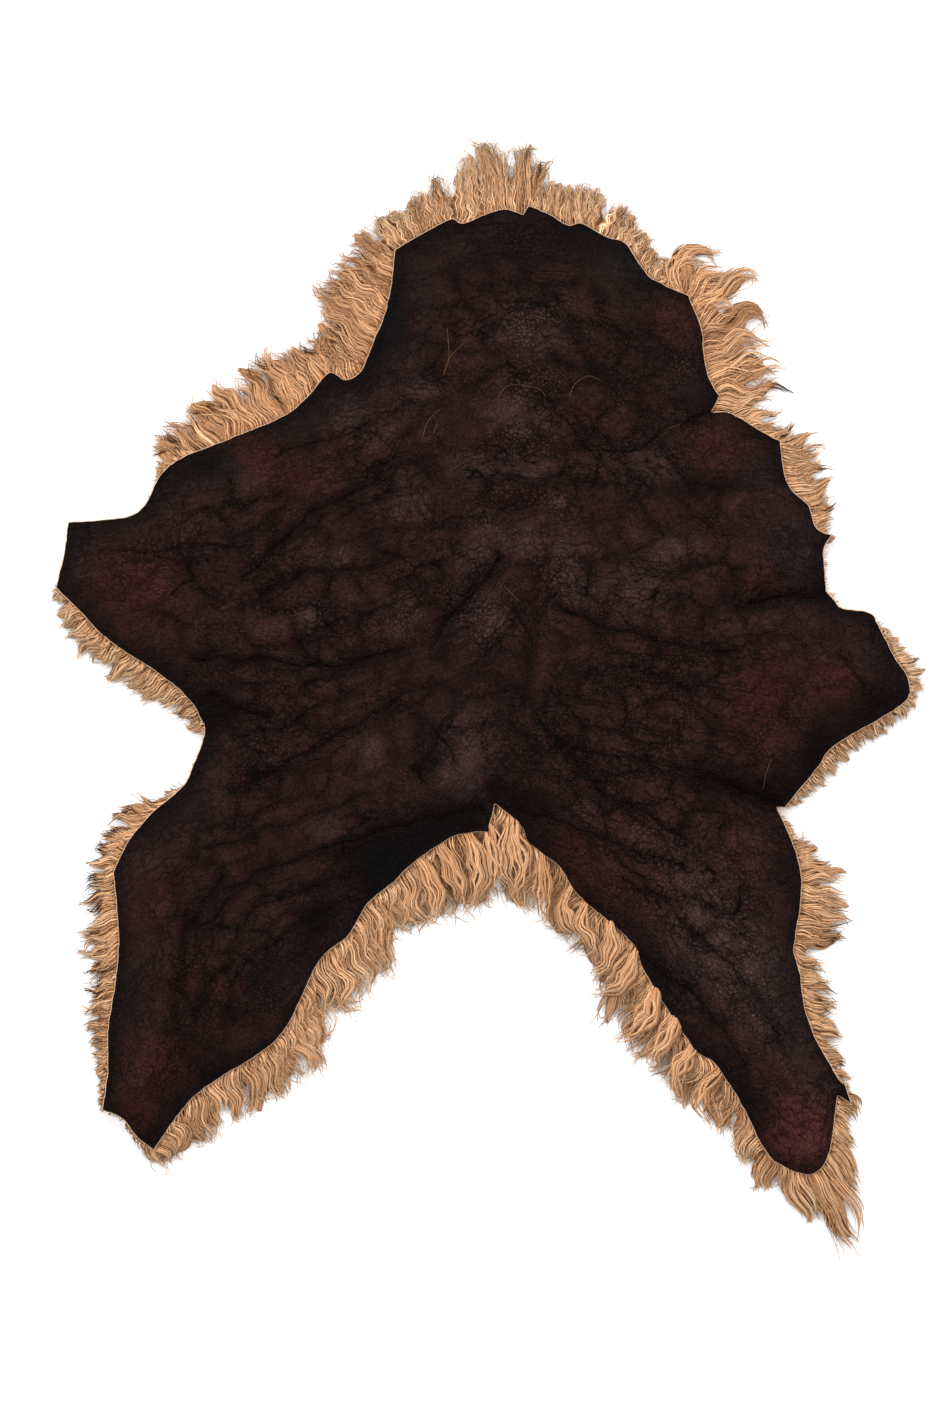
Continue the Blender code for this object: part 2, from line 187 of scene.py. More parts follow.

# Patches of tone noted on the photograph, laid in this order: x, y, half sizes, turn and strength.
# Some dark patches lie in folds and troughs of the hide, such as the long narrow one at (720, 484) and the one
# at (737, 788): they are painted shade of those folds. The other dark patches are the leather's own darker
# tone.
PATCHES = (
    ("dark", (520, 240, 150, 70, 0, 0.42), (190, 950, 80, 120, 20, 0.28), (470, 745, 90, 90, 0, 0.35),
     (640, 350, 90, 70, 0, 0.25)),
    ("light", (531, 328, 34, 27, 0, 0.9), (519, 418, 34, 20, 0, 0.7), (511, 467, 18, 15, 0, 0.5),
     (538, 464, 16, 14, 0, 0.5), (353, 415, 18, 16, 0, 0.5), (380, 439, 16, 14, 0, 0.5),
     (419, 388, 22, 20, 0, 0.6), (467, 466, 20, 17, 0, 0.5), (410, 499, 24, 20, 0, 0.6),
     (335, 559, 18, 15, 0, 0.5), (476, 556, 20, 17, 0, 0.6), (401, 616, 16, 24, 0, 0.6),
     (479, 615, 29, 32, 0, 0.8), (480, 523, 15, 14, 0, 0.5), (519, 541, 26, 18, 0, 0.6),
     (567, 556, 18, 26, 0, 0.6), (564, 508, 17, 15, 0, 0.6), (579, 592, 22, 15, 0, 0.6),
     (651, 466, 29, 21, 10, 0.8), (675, 547, 24, 15, 0, 0.6), (642, 586, 29, 25, 0, 0.8),
     (467, 758, 34, 50, 0, 0.8), (368, 746, 18, 16, 0, 0.5), (329, 830, 20, 17, 0, 0.5),
     (660, 845, 29, 21, 20, 0.6), (590, 818, 22, 13, 15, 0.5), (311, 616, 18, 16, 0, 0.5)),
    ("olive", (588, 472, 28, 13, 0, 0.35), (522, 382, 60, 20, 0, 0.28), (759, 517, 14, 17, 0, 0.3),
     (747, 625, 36, 12, 0, 0.3), (407, 776, 22, 14, 0, 0.4), (206, 963, 22, 9, 0, 0.4)),
    ("red", (265, 460, 52, 19, 25, 0.9), (130, 575, 54, 38, 0, 0.7), (145, 605, 34, 22, 0, 0.5),
     (582, 412, 17, 14, 0, 0.5), (765, 583, 22, 12, 0, 0.8), (680, 322, 26, 24, 0, 0.6),
     (720, 443, 36, 30, 0, 0.7), (764, 700, 36, 50, 0, 0.8), (840, 680, 28, 22, 0, 0.8),
     (576, 864, 28, 42, 0, 0.5), (749, 848, 42, 48, 0, 0.5), (155, 898, 26, 42, 0, 0.6),
     (200, 980, 40, 26, 0, 0.5), (155, 1066, 32, 30, 0, 0.8), (140, 1108, 22, 22, 0, 0.9),
     (768, 1066, 20, 14, 0, 0.6)),
    ("rosy", (803, 1132, 30, 36, 0, 1.1)),
    ("light", (735, 965, 46, 100, -32, 0.90), (690, 895, 50, 40, -30, 0.45)),
    ("rosy", (640, 870, 40, 60, 0, 0.30)),
    ("rim", (390, 331, 30, 50, 0, 0.9)),
    ("dark", (525, 245, 64, 26, 0, 0.6)),
    ("green", (630, 272, 34, 26, 40, 0.6)),
    ("rim", (212, 467, 26, 22, 0, 0.9)),
    ("dark", (720, 484, 66, 12, -6, 0.8), (661, 352, 46, 8, 0, 0.4), (668, 526, 26, 8, 0, 0.5)),
    ("rim", (377, 858, 42, 34, -35, 1.15), (440, 822, 62, 22, -20, 0.9)),
    ("dark", (532, 802, 36, 13, 20, 0.7)),
    ("rim", (318, 920, 26, 24, -30, 1.0)),
    ("dark", (425, 746, 12, 30, 0, 0.7), (494, 791, 10, 16, 0, 0.8), (219, 708, 24, 24, 0, 1.0),
     (737, 788, 46, 20, 0, 0.9), (652, 661, 8, 10, 0, 0.5), (678, 681, 26, 8, 0, 0.4),
     (819, 753, 16, 24, 0, 0.8), (783, 870, 14, 20, 0, 0.5)),
    ("green", (790, 1013, 20, 44, -15, 0.7)),
    ("blue", (665, 991, 18, 44, 40, 0.7), (278, 974, 36, 26, -40, 0.6), (795, 553, 18, 42, 0, 0.6)),
    ("light", (825, 1089, 14, 12, 0, 0.5)),
)

# Patches where the leather is crackled, written like the patches of tone.
PEBBLED = (
    (640, 870, 90, 60, -40, 0.5), (735, 985, 50, 90, -25, 0.5), (519, 445, 55, 20, 0, 1.0),
    (522, 382, 66, 26, 0, 1.0), (519, 496, 64, 20, 0, 0.9), (532, 328, 56, 44, 0, 0.8),
    (684, 361, 30, 26, 0, 0.8), (530, 243, 44, 32, 0, 0.8), (266, 996, 34, 24, 0, 0.8),
    (748, 996, 40, 50, 0, 0.6), (470, 600, 120, 120, 0, 0.35),
)

# Loose hairs on the leather, by their turns on the photograph.
STRAY_HAIRS = (
    ((447, 328), (449, 358), (443, 376)), ((464, 343), (449, 358), (443, 376)),
    ((440, 409), (428, 421), (422, 439)), ((437, 424), (433, 434)),
    ((498, 397), (510, 385), (537, 388), (546, 397)), ((570, 397), (574, 385), (588, 376), (600, 380)),
    ((669, 428), (681, 423)), ((504, 586), (519, 601)), ((764, 790), (767, 772), (772, 759)),
)

# Runs of the edge, clockwise from above, each with its wool.
REGIONS = {
    "neck": (Style(2.2, 17, 4, 170, 15, 0.07, 30, 9, 0.52, 0.35, 0.60, 0.07), (
        (-90, 443, 49, 134, True), (-62, 459, 42, 114), (-34, 474, 58, 112), (-21, 470, 76, 100),
        (8, 481, 90, 92), (24, 484, 84, 90), (39, 478, 82, 86, True), (45, 487, 76, 84, True),
        (66, 479, 42, 82), (84, 468, 50, 84), (99, 469, 50, 78), (123, 456, 46, 70), (142, 450, 34, 60),
        (164, 419, 28, 50), (183, 407, 34, 56),
    )),
    "right shoulder": (Style(7.0, 58, 34, 30, 30, 0.38, 8, 9, 0.85, 0.8, 0.10, 0.04), (
        (206, 397, 58, 46, True), (219, 363, 80, 14), (222, 333, 78, 10), (229, 309, 82, 6),
        (237, 296, 76, 4, True),
    )),
    "right armpit": (Style(2.5, 38, -20, -35, 20, 0.55, 9, 11, 0.80, 1.0, 0.35, 0.06), (
        (230, 280, 80, 0, True), (248, 279, 62, -2), (280, 260, 38, 4), (298, 251, 44, 12, True),
        (301, 227, 54, 14), (307, 205, 50, 12), (326, 186, 32, 14), (335, 163, 20, 4),
        (350, 156, 5, 0, True), (342, 139, 6, 0),
    )),
    "right foreleg": (Style(2.0, 30, 6, 30, 12, 0.50, 9, 12, 0.75, 1.0, 0.75, 0.02), (
        (345, 100, 5, 3, True), (352, 91, 8, 12), (360, 83, 2, 20), (385, 79, 1, 40), (393, 74, 2, 40, True),
        (413, 33, 26, 18), (424, 18, 24, 8), (430, -3, 14, -14, True), (416, -18, 16, -40),
        (353, -56, 24, -40), (335, -79, 24, -34), (303, -118, 8, -40, True),
    )),
    "right flank": (Style(2.5, 34, 12, 40, 17, 0.50, 10, 15, 0.80, 1.2, 0.50, 0.08), (
        (295, -118, 4, -20, True), (306, -143, 9, 0), (316, -169, 34, 12), (320, -200, 60, -8),
        (314, -246, 60, -18), (312, -263, 40, -30), (318, -285, 38, -22), (327, -334, 46, -22),
        (357, -391, 15, -34),
    )),
    "right hind toe": (Style(2.0, 60, 4, 8, 24, 0.34, 5, 6, 0.90, 0.9, 0.45, 0.05), (
        (362, -394, 12, -36, True), (371, -417, 8, -44, True), (356, -408, 24, -38, True),
        (348, -463, 58, -52), (337, -483, 98, -61), (321, -487, 86, -60),
    )),
    "right inner leg": (Style(8.5, 64, 8, 90, 34, 0.32, 6, 7, 1.0, 0.9, 0.45, 0.0), (
        (287, -469, 44, -78), (257, -414, 50, -106), (232, -376, 62, -106), (209, -358, 66, -106),
        (162, -285, 72, -112), (148, -254, 82, -108), (95, -207, 58, -106), (76, -178, 64, -104),
    )),
    "tail": (Style(9.0, 56, 6, 130, 34, 0.34, 6, 8, 1.0, 0.9, 0.35, 0.0), (
        (46, -155, 68, -98), (36, -136, 78, -94), (11, -114, 98, -90, True), (5, -142, 84, -92, True),
        (-31, -148, 96, -90),
    )),
    "left hind leg": (Style(6.5, 44, 8, 100, 32, 0.30, 6, 6, 0.95, 0.9, 0.40, 0.0), (
        (-73, -176, 76, -84), (-94, -196, 62, -80), (-118, -216, 66, -74), (-136, -246, 76, -74),
        (-167, -275, 82, -76), (-207, -350, 62, -68), (-288, -406, 54, -72), (-332, -463, 32, -66, True),
    )),
    "left flank": (Style(2.5, 30, 10, 40, 17, 0.38, 11, 12, 0.75, 1.0, 0.35, 0.20), (
        (-348, -450, 12, -100), (-363, -432, 7, -120), (-384, -422, 6, 210, True), (-379, -385, 16, 208),
        (-378, -338, 27, 214), (-370, -287, 44, 212), (-368, -241, 50, 206), (-373, -182, 34, 202, True),
        (-357, -151, 36, 186), (-336, -125, 48, 182), (-306, -99, 16, 184), (-297, -86, 2, 190),
        (-283, -50, 2, 200),
    )),
    "left foreleg": (Style(2.5, 30, 8, 40, 14, 0.42, 10, 12, 0.80, 1.0, 0.65, 0.03), (
        (-282, -35, 12, 206, True), (-306, 0, 40, 204), (-381, 53, 36, 210), (-405, 78, 32, 206),
        (-431, 103, 6, 216, True), (-422, 139, 0, 190), (-418, 169, 0, 150, True), (-351, 178, 0, 120),
    )),
    "left shoulder": (Style(4.0, 36, -12, 60, 24, 0.26, 11, 9, 0.78, 0.6, -0.25, 0.08), (
        (-324, 219, 8, 172), (-300, 236, 38, 166), (-272, 247, 58, 142), (-206, 274, 76, 126),
        (-182, 291, 70, 121), (-157, 319, 40, 118), (-139, 313, 66, 126), (-124, 321, 80, 132),
        (-114, 345, 86, 141), (-102, 372, 82, 144), (-94, 406, 66, 149),
    )),
}

LOCK_DENSITY = 1.45
LOCK_WAVE = 25 * MM
LOCK_STEPS = 12
LOCK_RIDGE = 0.21
LOCK_SWAY = 1.7 * MM
LOCK_SCATTER = 1.4 * MM
LOCK_HAIR = 0.74 * MM
LOCK_RISE = 0.42

# Locks given one by one: width in millimetres, then the turns on the photograph.
TOP_LOCKS = (
    (20, (530, 862), (543, 884), (543, 908), (549, 924)),
    (20, (556, 892), (563, 914), (574, 932), (580, 948)),
    (18, (577, 908), (582, 928), (594, 944), (597, 962)),
    (22, (441, 848), (452, 870), (461, 892), (461, 914)),
    (22, (417, 860), (431, 884), (435, 908), (424, 932)),
    (26, (467, 840), (479, 862), (479, 888), (466, 912)),
    (26, (632, 948), (626, 974), (612, 990), (586, 998)),
    (22, (605, 920), (612, 944), (606, 966), (588, 980)),
    (26, (650, 986), (650, 1011), (635, 1031), (610, 1046)),
    (24, (674, 1014), (670, 1034), (656, 1054), (648, 1074)),
    (24, (697, 1046), (684, 1064), (677, 1083), (688, 1116)),
    (20, (716, 1076), (705, 1092), (702, 1112), (716, 1132)),
    (22, (505, 822), (514, 840), (523, 862), (520, 884), (510, 898)),
    (27, (502, 821), (501, 840), (501, 862), (507, 882), (519, 897)),
    (22, (490, 842), (493, 858), (497, 876), (491, 896)),
)

# The last column, tone, makes the low layer darker and the high one lighter: painted shade under the wool
# above and painted light on top.
LAYERS = (
    Layer("low", 1.0, 7, 200, (0.86, 1.06), (0.30, 0.55), 0.84, 1.10, 0.42, 12, 0.10, 0.90),
    Layer("middle", 0.7, 9, 200, (0.66, 1.02), (0.50, 0.75), 0.68, 0.95, 0.42, 11, 0.20, 1.00),
    Layer("high", 0.8, 9, 200, (0.42, 0.80), (0.70, 0.90), 0.62, 0.90, 0.42, 10, 0.20, 1.06),
    Layer("stray", 0.5, 7, 200, (0.84, 1.22), (0.35, 0.95), 0.30, 0.36, 1.0, 12, 1.00, 0.85),
    Layer("short", 0.4, 0, 7, (0.85, 1.10), (0.30, 0.90), 0.75, 0.50, 1.0, 7, 0.40, 1.00),
)

LEATHER_TONES = {
    "base": (0.0160, 0.0066, 0.0056),
    "light": (0.0400, 0.0215, 0.0198),
    "red": (0.0290, 0.0088, 0.0070),
    "rosy": (0.0600, 0.0195, 0.0155),
    "olive": (0.0240, 0.0130, 0.0065),
    "green": (0.0065, 0.0066, 0.0050),
    "blue": (0.0065, 0.0068, 0.0077),
    # The dark tone is the leather's own darker colour, and painted shade where a dark patch lies in a fold.
    "dark": (0.0022, 0.0013, 0.0012),
    "rim": (0.0021, 0.0023, 0.0025),
}
# Painted shade in the leather's creases, wrinkles and other grooves.
CREASE_SHADE = (0.0030, 0.0014, 0.0012)
WOOL_ROOT = (0.540, 0.245, 0.108, 1.0)
WOOL_BODY = (0.655, 0.368, 0.192, 1.0)
WOOL_TIP = (0.680, 0.500, 0.320, 1.0)
# Painted shade between the wool's fibres, along its lines.
WOOL_GAP_SHADE = (0.62, 0.48, 0.40, 1.0)
# What the leather's colour is multiplied by where it is deep, bright, coarse, fine or on a pebble's top; on a
# pebble's top it is a painted highlight.
DEEP = (0.76, 0.75, 0.75, 1.0)
BRIGHT = (1.10, 1.09, 1.09, 1.0)
GRAIN_DARK = (0.66, 0.62, 0.62, 1.0)
GRAIN_LIGHT = (1.34, 1.34, 1.34, 1.0)
PEBBLE_HIGHLIGHT = (1.8, 1.76, 1.72, 1.0)
CUT_DARK = (0.30, 0.17, 0.10, 1.0)
CUT_LIGHT = (0.66, 0.44, 0.28, 1.0)

rng = np.random.default_rng(11)


def headings(angle):
    return np.stack([np.cos(angle), np.sin(angle)], -1)


def smooth(t):
    t = np.clip(t, 0.0, 1.0)
    return t * t * (3 - 2 * t)


def bell(t):
    return np.exp(-t * t)


def from_photo(x, y):
    return (x - PHOTO_MIDDLE[0]) * MM, (PHOTO_MIDDLE[1] - y) * MM


def placed(turns):
    """Turns noted on the photograph, as points of the flat skin."""
    return [np.array(from_photo(*turn)) for turn in turns]


def straight_runs(turns):
    turns = placed(turns)
    return zip(turns, turns[1:])


def noise_at(points, span, seed):
    """Perlin noise of plane points, from about -1 to 1."""
    k = 1 / span
    return np.array([noise.noise((x * k, y * k, seed)) for x, y in points])


def warped(points, span, shift, seed):
    """Points pushed about by noise, so that what is laid on them meanders."""
    push = np.stack([noise_at(points, span, seed), noise_at(points, span, seed + 5.3)], 1)
    return points + push * shift


def plane_tree(points):
    tree = kdtree.KDTree(len(points))
    for i, (x, y) in enumerate(points):
        tree.insert((x, y, 0.0), i)
    tree.balance()
    return tree


def spline_point(before, start, end, after, t):
    """Catmull-Rom, so that the edge passes through each row of the tables."""
    return 0.5 * (
        2 * start
        + (end - before) * t
        + (2 * before - 5 * start + 4 * end - after) * t**2
        + (3 * start - before - 3 * end + after) * t**3
    )


class Rim:
    """The hide's edge, clockwise from above, with the wool's reach and style at each sample."""

    def __init__(self, step):
        rows = [Edge(*row) for _, edges in REGIONS.values() for row in edges]
        styles = [np.array(style) for style, edges in REGIONS.values() for _ in edges]
        spots = np.array([(row.x, row.y) for row in rows]) * MM
        lay = np.radians([row.lay for row in rows])
        reach = np.array([row.reach for row in rows])[:, None] * MM
        wool = headings(lay) * reach
        places, wools, kinds = [], [], []
        for i, row in enumerate(rows):
            j = (i + 1) % len(rows)
            start, end = spots[i], spots[j]
            before = start if row.corner else spots[i - 1]
            after = end if rows[j].corner else spots[(j + 1) % len(rows)]
            steps = max(1, round(float(np.hypot(*(end - start))) / step))
            for t in np.arange(steps) / steps:
                places.append(spline_point(before, start, end, after, t))
                wools.append(wool[i] * (1 - t) + wool[j] * t)
                kinds.append(styles[i] * (1 - t) + styles[j] * t)
        self.place, self.wool, self.style = np.array(places), np.array(wools), np.array(kinds)
        wobble = noise_at(self.place, 11 * MM, 3.7) + 0.5 * noise_at(self.place, 4 * MM, 8.1)
        self.place = self.place + self.outward(1) * (wobble * EDGE_WOBBLE)[:, None]
        self.out = self.outward(2)

        steps = np.linalg.norm(np.roll(self.place, -1, 0) - self.place, axis=1)
        self.along = np.concatenate([[0.0], np.cumsum(steps)])
        self.total = self.along[-1]

    def at(self, spots, values):
        """Values of the edge at distances along it."""
        closed = np.vstack([values, values[:1]])
        return np.stack([np.interp(np.mod(spots, self.total), self.along, row) for row in closed.T], 1)

    def outward(self, reach):
        along = np.roll(self.place, -reach, 0) - np.roll(self.place, reach, 0)
        normal = np.stack([-along[:, 1], along[:, 0]], 1)
        return normal / np.linalg.norm(normal, axis=1)[:, None]


rim = Rim(RIM_STEP)
rim_tree = plane_tree(rim.place)


def edge_distance(points, on_edge=0):
    """Distance of points to the edge. The first ones may be given as lying on it."""
    distance = np.array([rim_tree.find((x, y, 0.0))[2] for x, y in points])
    distance[:on_edge] = 0.0
    return distance


def run_distance(points, start, end):
    """Distance of points to a straight run, and the share of the run that they lie beside."""
    run = end - start
    t = np.clip((points - start) @ run / (run @ run), 0.0, 1.0)
    return np.linalg.norm(points - start - t[:, None] * run, axis=1), t


def ground_height(points, distance):
    """Height of the hide's underside, as in the solids."""
    rise = smooth(distance / EDGE_FALL)
    body = PILE_EDGE + (PILE_MIDDLE - PILE_EDGE) * rise
    slow = np.array([noise.noise(Vector((x, y, 0.0)) / SWELL_SPAN) for x, y in points])
    quick = np.array([noise.noise(Vector((x, y, 0.3)) / RIPPLE_SPAN) for x, y in points])
    folds = np.zeros(len(points))
    for x0, y0, x1, y1, width, height in FOLDS:
        off, t = run_distance(points, np.array((x0, y0)) * MM, np.array((x1, y1)) * MM)
        folds += height * MM * bell(off / (width * MM)) * (1 - FOLD_FADE * smooth(t))
    swelling = EDGE_SWELL + (1 - EDGE_SWELL) * rise
    folding = EDGE_FOLD + (1 - EDGE_FOLD) * rise
    return body + swelling * (SWELL * slow + RIPPLE * quick) + folding * folds


def crease_depth(points):
    """Depth of the creases at points, how strongly each lies in one (which sets the painted shade in it), how
    near, and on which side.
    """
    moved = warped(warped(points, 22 * MM, 5 * MM, 1.2), 7 * MM, 1.2 * MM, 4.4)
    depth, crease_shading, near, beside = (np.zeros(len(points)) for _ in range(4))
    closest = np.full(len(points), 1.0)
    for width, deep, *turns in CREASES:
        nearest = np.full(len(points), 1.0)
        for start, end in straight_runs(turns):
            distance = run_distance(moved, start, end)[0]
            nearest = np.minimum(nearest, distance)
            run, away = end - start, moved - start
            side = np.where(run[0] * away[:, 1] > run[1] * away[:, 0], 1.0, -1.0)
            beside = np.where(distance < closest, side * distance, beside)
            closest = np.minimum(closest, distance)
        within = bell(nearest / (width * MM))
        depth += deep * MM * within
        share = min(deep / 1.4, 1.3)
        crease_shading = np.maximum(crease_shading, share * (0.25 * within + 0.50 * bell(nearest / (8 * MM))))
        near = np.maximum(near, share * bell(nearest / (9 * MM)))
    return depth, crease_shading, near, beside / MM


def flow_directions(points):
    """The way that the skin's wrinkles run at points, taken from the creases near them."""
    double = np.zeros((len(points), 2))
    for _, _, *turns in CREASES:
        for start, end in straight_runs(turns):
            run = end - start
            angle = 2 * math.atan2(run[1], run[0])
            weight = np.hypot(*run) / (run_distance(points, start, end)[0] ** 2 + (16 * MM) ** 2)
            double += weight[:, None] * np.array((math.cos(angle), math.sin(angle)))
    angle = np.arctan2(double[:, 1], double[:, 0]) / 2 + 0.5 * noise_at(points, 40 * MM, 6.1)
    return np.column_stack([headings(angle), np.zeros(len(points))])


def patch_share(patch, points, size=1.0):
    """A patch's hold on points, from 1 at its middle, with the patch made larger by size."""
    x, y, rx, ry, turn, _ = patch
    x, y = from_photo(x, y)
    turn = -math.radians(turn)
    dx, dy = points[:, 0] - x, points[:, 1] - y
    along = (dx * math.cos(turn) + dy * math.sin(turn)) / (rx * size * MM)
    aside = (-dx * math.sin(turn) + dy * math.cos(turn)) / (ry * size * MM)
    return np.exp(-((along**2 + aside**2) ** 1.4))


def ring_share(patch, points):
    """Where the skin is crackled, in a ring round a smooth light patch."""
    ring = patch_share(patch, points, RING_WIDTH) - 1.15 * patch_share(patch, points)
    return np.clip(ring, 0, 1) * patch[-1]


def cell_margin(points, flow, span, seed):
    """How far points lie inside the rounded cell that holds them. Cells are drawn out along the flow."""
    middles = grid_points(rim.place.min(0) - span, rim.place.max(0) + span, span)
    jitter = np.random.default_rng(seed).uniform(-CELL_JITTER, CELL_JITTER, middles.shape)
    middles = middles + jitter * span
    tree = plane_tree(middles)
    near = np.array([[found[1] for found in tree.find_n((x, y, 0.0), 6)] for x, y in points])
    away = middles[near] - points[:, None]
    along = away[..., 0] * flow[:, None, 0] + away[..., 1] * flow[:, None, 1]
    aside = away[..., 0] * flow[:, None, 1] - away[..., 1] * flow[:, None, 0]
    measure = np.sort(np.hypot(CELL_STRETCH * along, aside), axis=1)
    return (measure[:, 1] - measure[:, 0]) / 2


def rounded_cells(points, distance, flow):
    """From 0 between the skin's soft bulges to 1 on them, and how far points are from their borders."""
    moved = warped(warped(points, 30 * MM, 9 * MM, 2.1), 9 * MM, 2.5 * MM, 8.8)
    large = cell_margin(moved, flow, LARGE_CELL, 5)
    small = cell_margin(moved, flow, SMALL_CELL, 9)
    turn = smooth(noise_at(points, 60 * MM, 3.3) * 1.6 + 0.5)
    both = smooth(large / (8 * MM)) * (0.45 + 0.55 * turn)
    both = both + smooth(small / (5.5 * MM)) * 0.55 * (1 - turn)
    uneven = 0.55 + 0.45 * smooth(noise_at(points, 70 * MM, 7.9) * 1.5 + 0.8)
    shown = smooth((distance - 16 * MM) / (45 * MM)) * uneven
    inside = np.minimum(large, small + 5 * MM * turn) + 3 * MM * (1 - shown)
    return both * shown + 0.50 * (1 - shown), inside


def grid_points(low, high, step):
    row_step = step * math.sqrt(3) / 2
    rows = np.arange(int((high[1] - low[1]) / row_step) + 1)
    columns = np.arange(int((high[0] - low[0]) / step) + 1)
    column, row = np.meshgrid(columns, rows)
    x = low[0] + column * step + (row % 2) * step / 2
    return np.stack([x.ravel(), low[1] + row.ravel() * row_step], 1)


def triangulated(loop, step, margin):
    """Triangles inside a clockwise loop. The loop's points come first, unmoved."""
    n = len(loop)
    grid = grid_points(loop.min(0), loop.max(0), step)
    grid = grid[edge_distance(grid) > margin]
    points = [Vector(p) for p in np.vstack([loop, grid])]
    out = geometry.delaunay_2d_cdt(points, [], [list(range(n))[::-1]], 1, MERGE)
    places = np.array([tuple(p) for p in out[0]])
    source = np.array([ids[0] if ids else -1 for ids in out[3]])
    faces = np.array(out[2])
    a, b, c = (places[faces[:, k]] for k in range(3))
    turn = (b - a)[:, 0] * (c - a)[:, 1] - (b - a)[:, 1] * (c - a)[:, 0]
    faces[turn < 0] = faces[turn < 0][:, ::-1]
    used = np.zeros(len(places), bool)
    used[faces] = True
    on_loop = (source >= 0) & (source < n) & used
    rest = used & ~on_loop
    order = np.full(len(places), -1)
    order[on_loop] = source[on_loop]
    order[rest] = n + np.arange(rest.sum())
    return np.vstack([loop, places[rest]]), order[faces]


def make_object(name, points, faces, material):
    """A mesh object from arrays. faces is a list of arrays, each with its own count of corners."""
    mesh = bpy.data.meshes.new(name)
    sizes = np.concatenate([np.full(len(f), f.shape[1]) for f in faces])
    corners = np.concatenate([f.ravel() for f in faces])
    starts = np.concatenate([[0], np.cumsum(sizes)[:-1]])
    mesh.vertices.add(len(points))
    mesh.vertices.foreach_set("co", np.asarray(points, np.float32).ravel())
    mesh.loops.add(len(corners))
    mesh.loops.foreach_set("vertex_index", corners.astype(np.int32))
    mesh.polygons.add(len(sizes))
    mesh.polygons.foreach_set("loop_start", starts.astype(np.int32))
    mesh.polygons.foreach_set("use_smooth", np.full(len(sizes), True))
    mesh.update(calc_edges=True)
    mesh.validate()
    made = bpy.data.objects.new(name, mesh)
    bpy.context.scene.collection.objects.link(made)
    mesh.materials.append(material)
    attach(made, "root")
    return made


def set_values(made, name, values, kind="FLOAT", field="value"):
    """Stores values by point. One value stands for all."""
    layer = made.data.attributes.new(name, kind, "POINT")
    if np.ndim(values) == 0:
        values = np.full(len(made.data.vertices), values)
    layer.data.foreach_set(field, np.asarray(values, np.float32).ravel())


class Finish:
    """A node material, with short calls for adding and joining its nodes."""

    def __init__(self, name):
        self.material = bpy.data.materials.new(name)
        self.material.use_nodes = True
        self.tree = self.material.node_tree

    def node(self, kind, inputs=None, **settings):
        made = self.tree.nodes.new("ShaderNode" + kind)
        for key, value in settings.items():
            setattr(made, key, value)
        for key, value in (inputs or {}).items():
            self.join(value, made.inputs[key])
        return made

    def join(self, value, socket):
        if isinstance(value, bpy.types.NodeSocket):
            self.tree.links.new(value, socket)
        else:
            socket.default_value = value

    def finished(self, inputs):
        """The material, once its shader has its colour and the rest."""
        shader = self.tree.nodes["Principled BSDF"]
        for key, value in inputs.items():
            self.join(value, shader.inputs[key])
        return self.material

    @cached_property
    def place(self):
        return self.node("TexCoord").outputs["Object"]

    def value(self, name, output="Fac"):
        return self.node("Attribute", attribute_name=name).outputs[output]

    def math(self, operation, a, b=0.0):
        return self.node("Math", {0: a, 1: b}, operation=operation).outputs[0]

    def product(self, *values):
        return reduce(lambda a, b: self.math("MULTIPLY", a, b), values)

    def most(self, *values):
        return reduce(lambda a, b: self.math("MAXIMUM", a, b), values)

    def opposite(self, value):
        return self.math("SUBTRACT", 1.0, value)

    def off(self, value, middle):
        """How far a value is from a middle."""
        return self.math("ABSOLUTE", self.math("SUBTRACT", value, middle))

    def stretch(self, value, low, high, to_low=0.0, to_high=1.0):
        inputs = {"Value": value, "From Min": low, "From Max": high, "To Min": to_low, "To Max": to_high}
        return self.node("MapRange", inputs, interpolation_type="SMOOTHSTEP").outputs["Result"]

    def mix(self, share, a, b, blend="MIX"):
        inputs = {"Factor": share, 6: a, 7: b}
        return self.node("Mix", inputs, data_type="RGBA", blend_type=blend).outputs[2]

    def times(self, colour, tint):
        return self.mix(1.0, colour, tint, "MULTIPLY")

    def noise(self, scale, detail=3.0, roughness=0.5, place=None):
        place = self.place if place is None else place
        inputs = {"Vector": place, "Scale": scale, "Detail": detail, "Roughness": roughness}
        return self.node("TexNoise", inputs).outputs["Fac"]

    def patchy(self, scale, *levels):
        """Slow noise stretched between levels."""
        return self.stretch(self.noise(scale, 2.0), *levels)

    def cells(self, place, scale):
        inputs = {"Vector": place, "Scale": scale}
        return self.node("TexVoronoi", inputs, feature="DISTANCE_TO_EDGE").outputs["Distance"]

    def bent(self, place, scale, share):
        """Places pushed about by noise."""
        push = self.node("TexNoise", {"Vector": place, "Scale": scale, "Detail": 2.0}).outputs["Color"]
        return self.node("MixRGB", {"Fac": share, "Color1": place, "Color2": push}).outputs[0]

    def along_flow(self, scale, reach, width):
        """Noise drawn out along the skin's flow: 0 on its thin lines and 1 away from them."""
        flow = self.value("flow", "Vector")
        taps = []
        for k in (-2.0, -1.0, 0.0, 1.0, 2.0):
            inputs = {0: flow, 1: (reach * k,) * 3, 2: self.place}
            spot = self.node("VectorMath", inputs, operation="MULTIPLY_ADD").outputs[0]
            taps.append(self.noise(scale, 1.0, place=spot))
        total = reduce(lambda a, b: self.math("ADD", a, b), taps)
        return self.stretch(self.off(self.product(total, 1 / len(taps)), 0.5), 0.0, width)

    def bump(self, height, distance, strength=1.0, under=None):
        inputs = {"Height": height, "Distance": distance, "Strength": strength}
        if under is not None:
            inputs["Normal"] = under
        return self.node("Bump", inputs).outputs["Normal"]


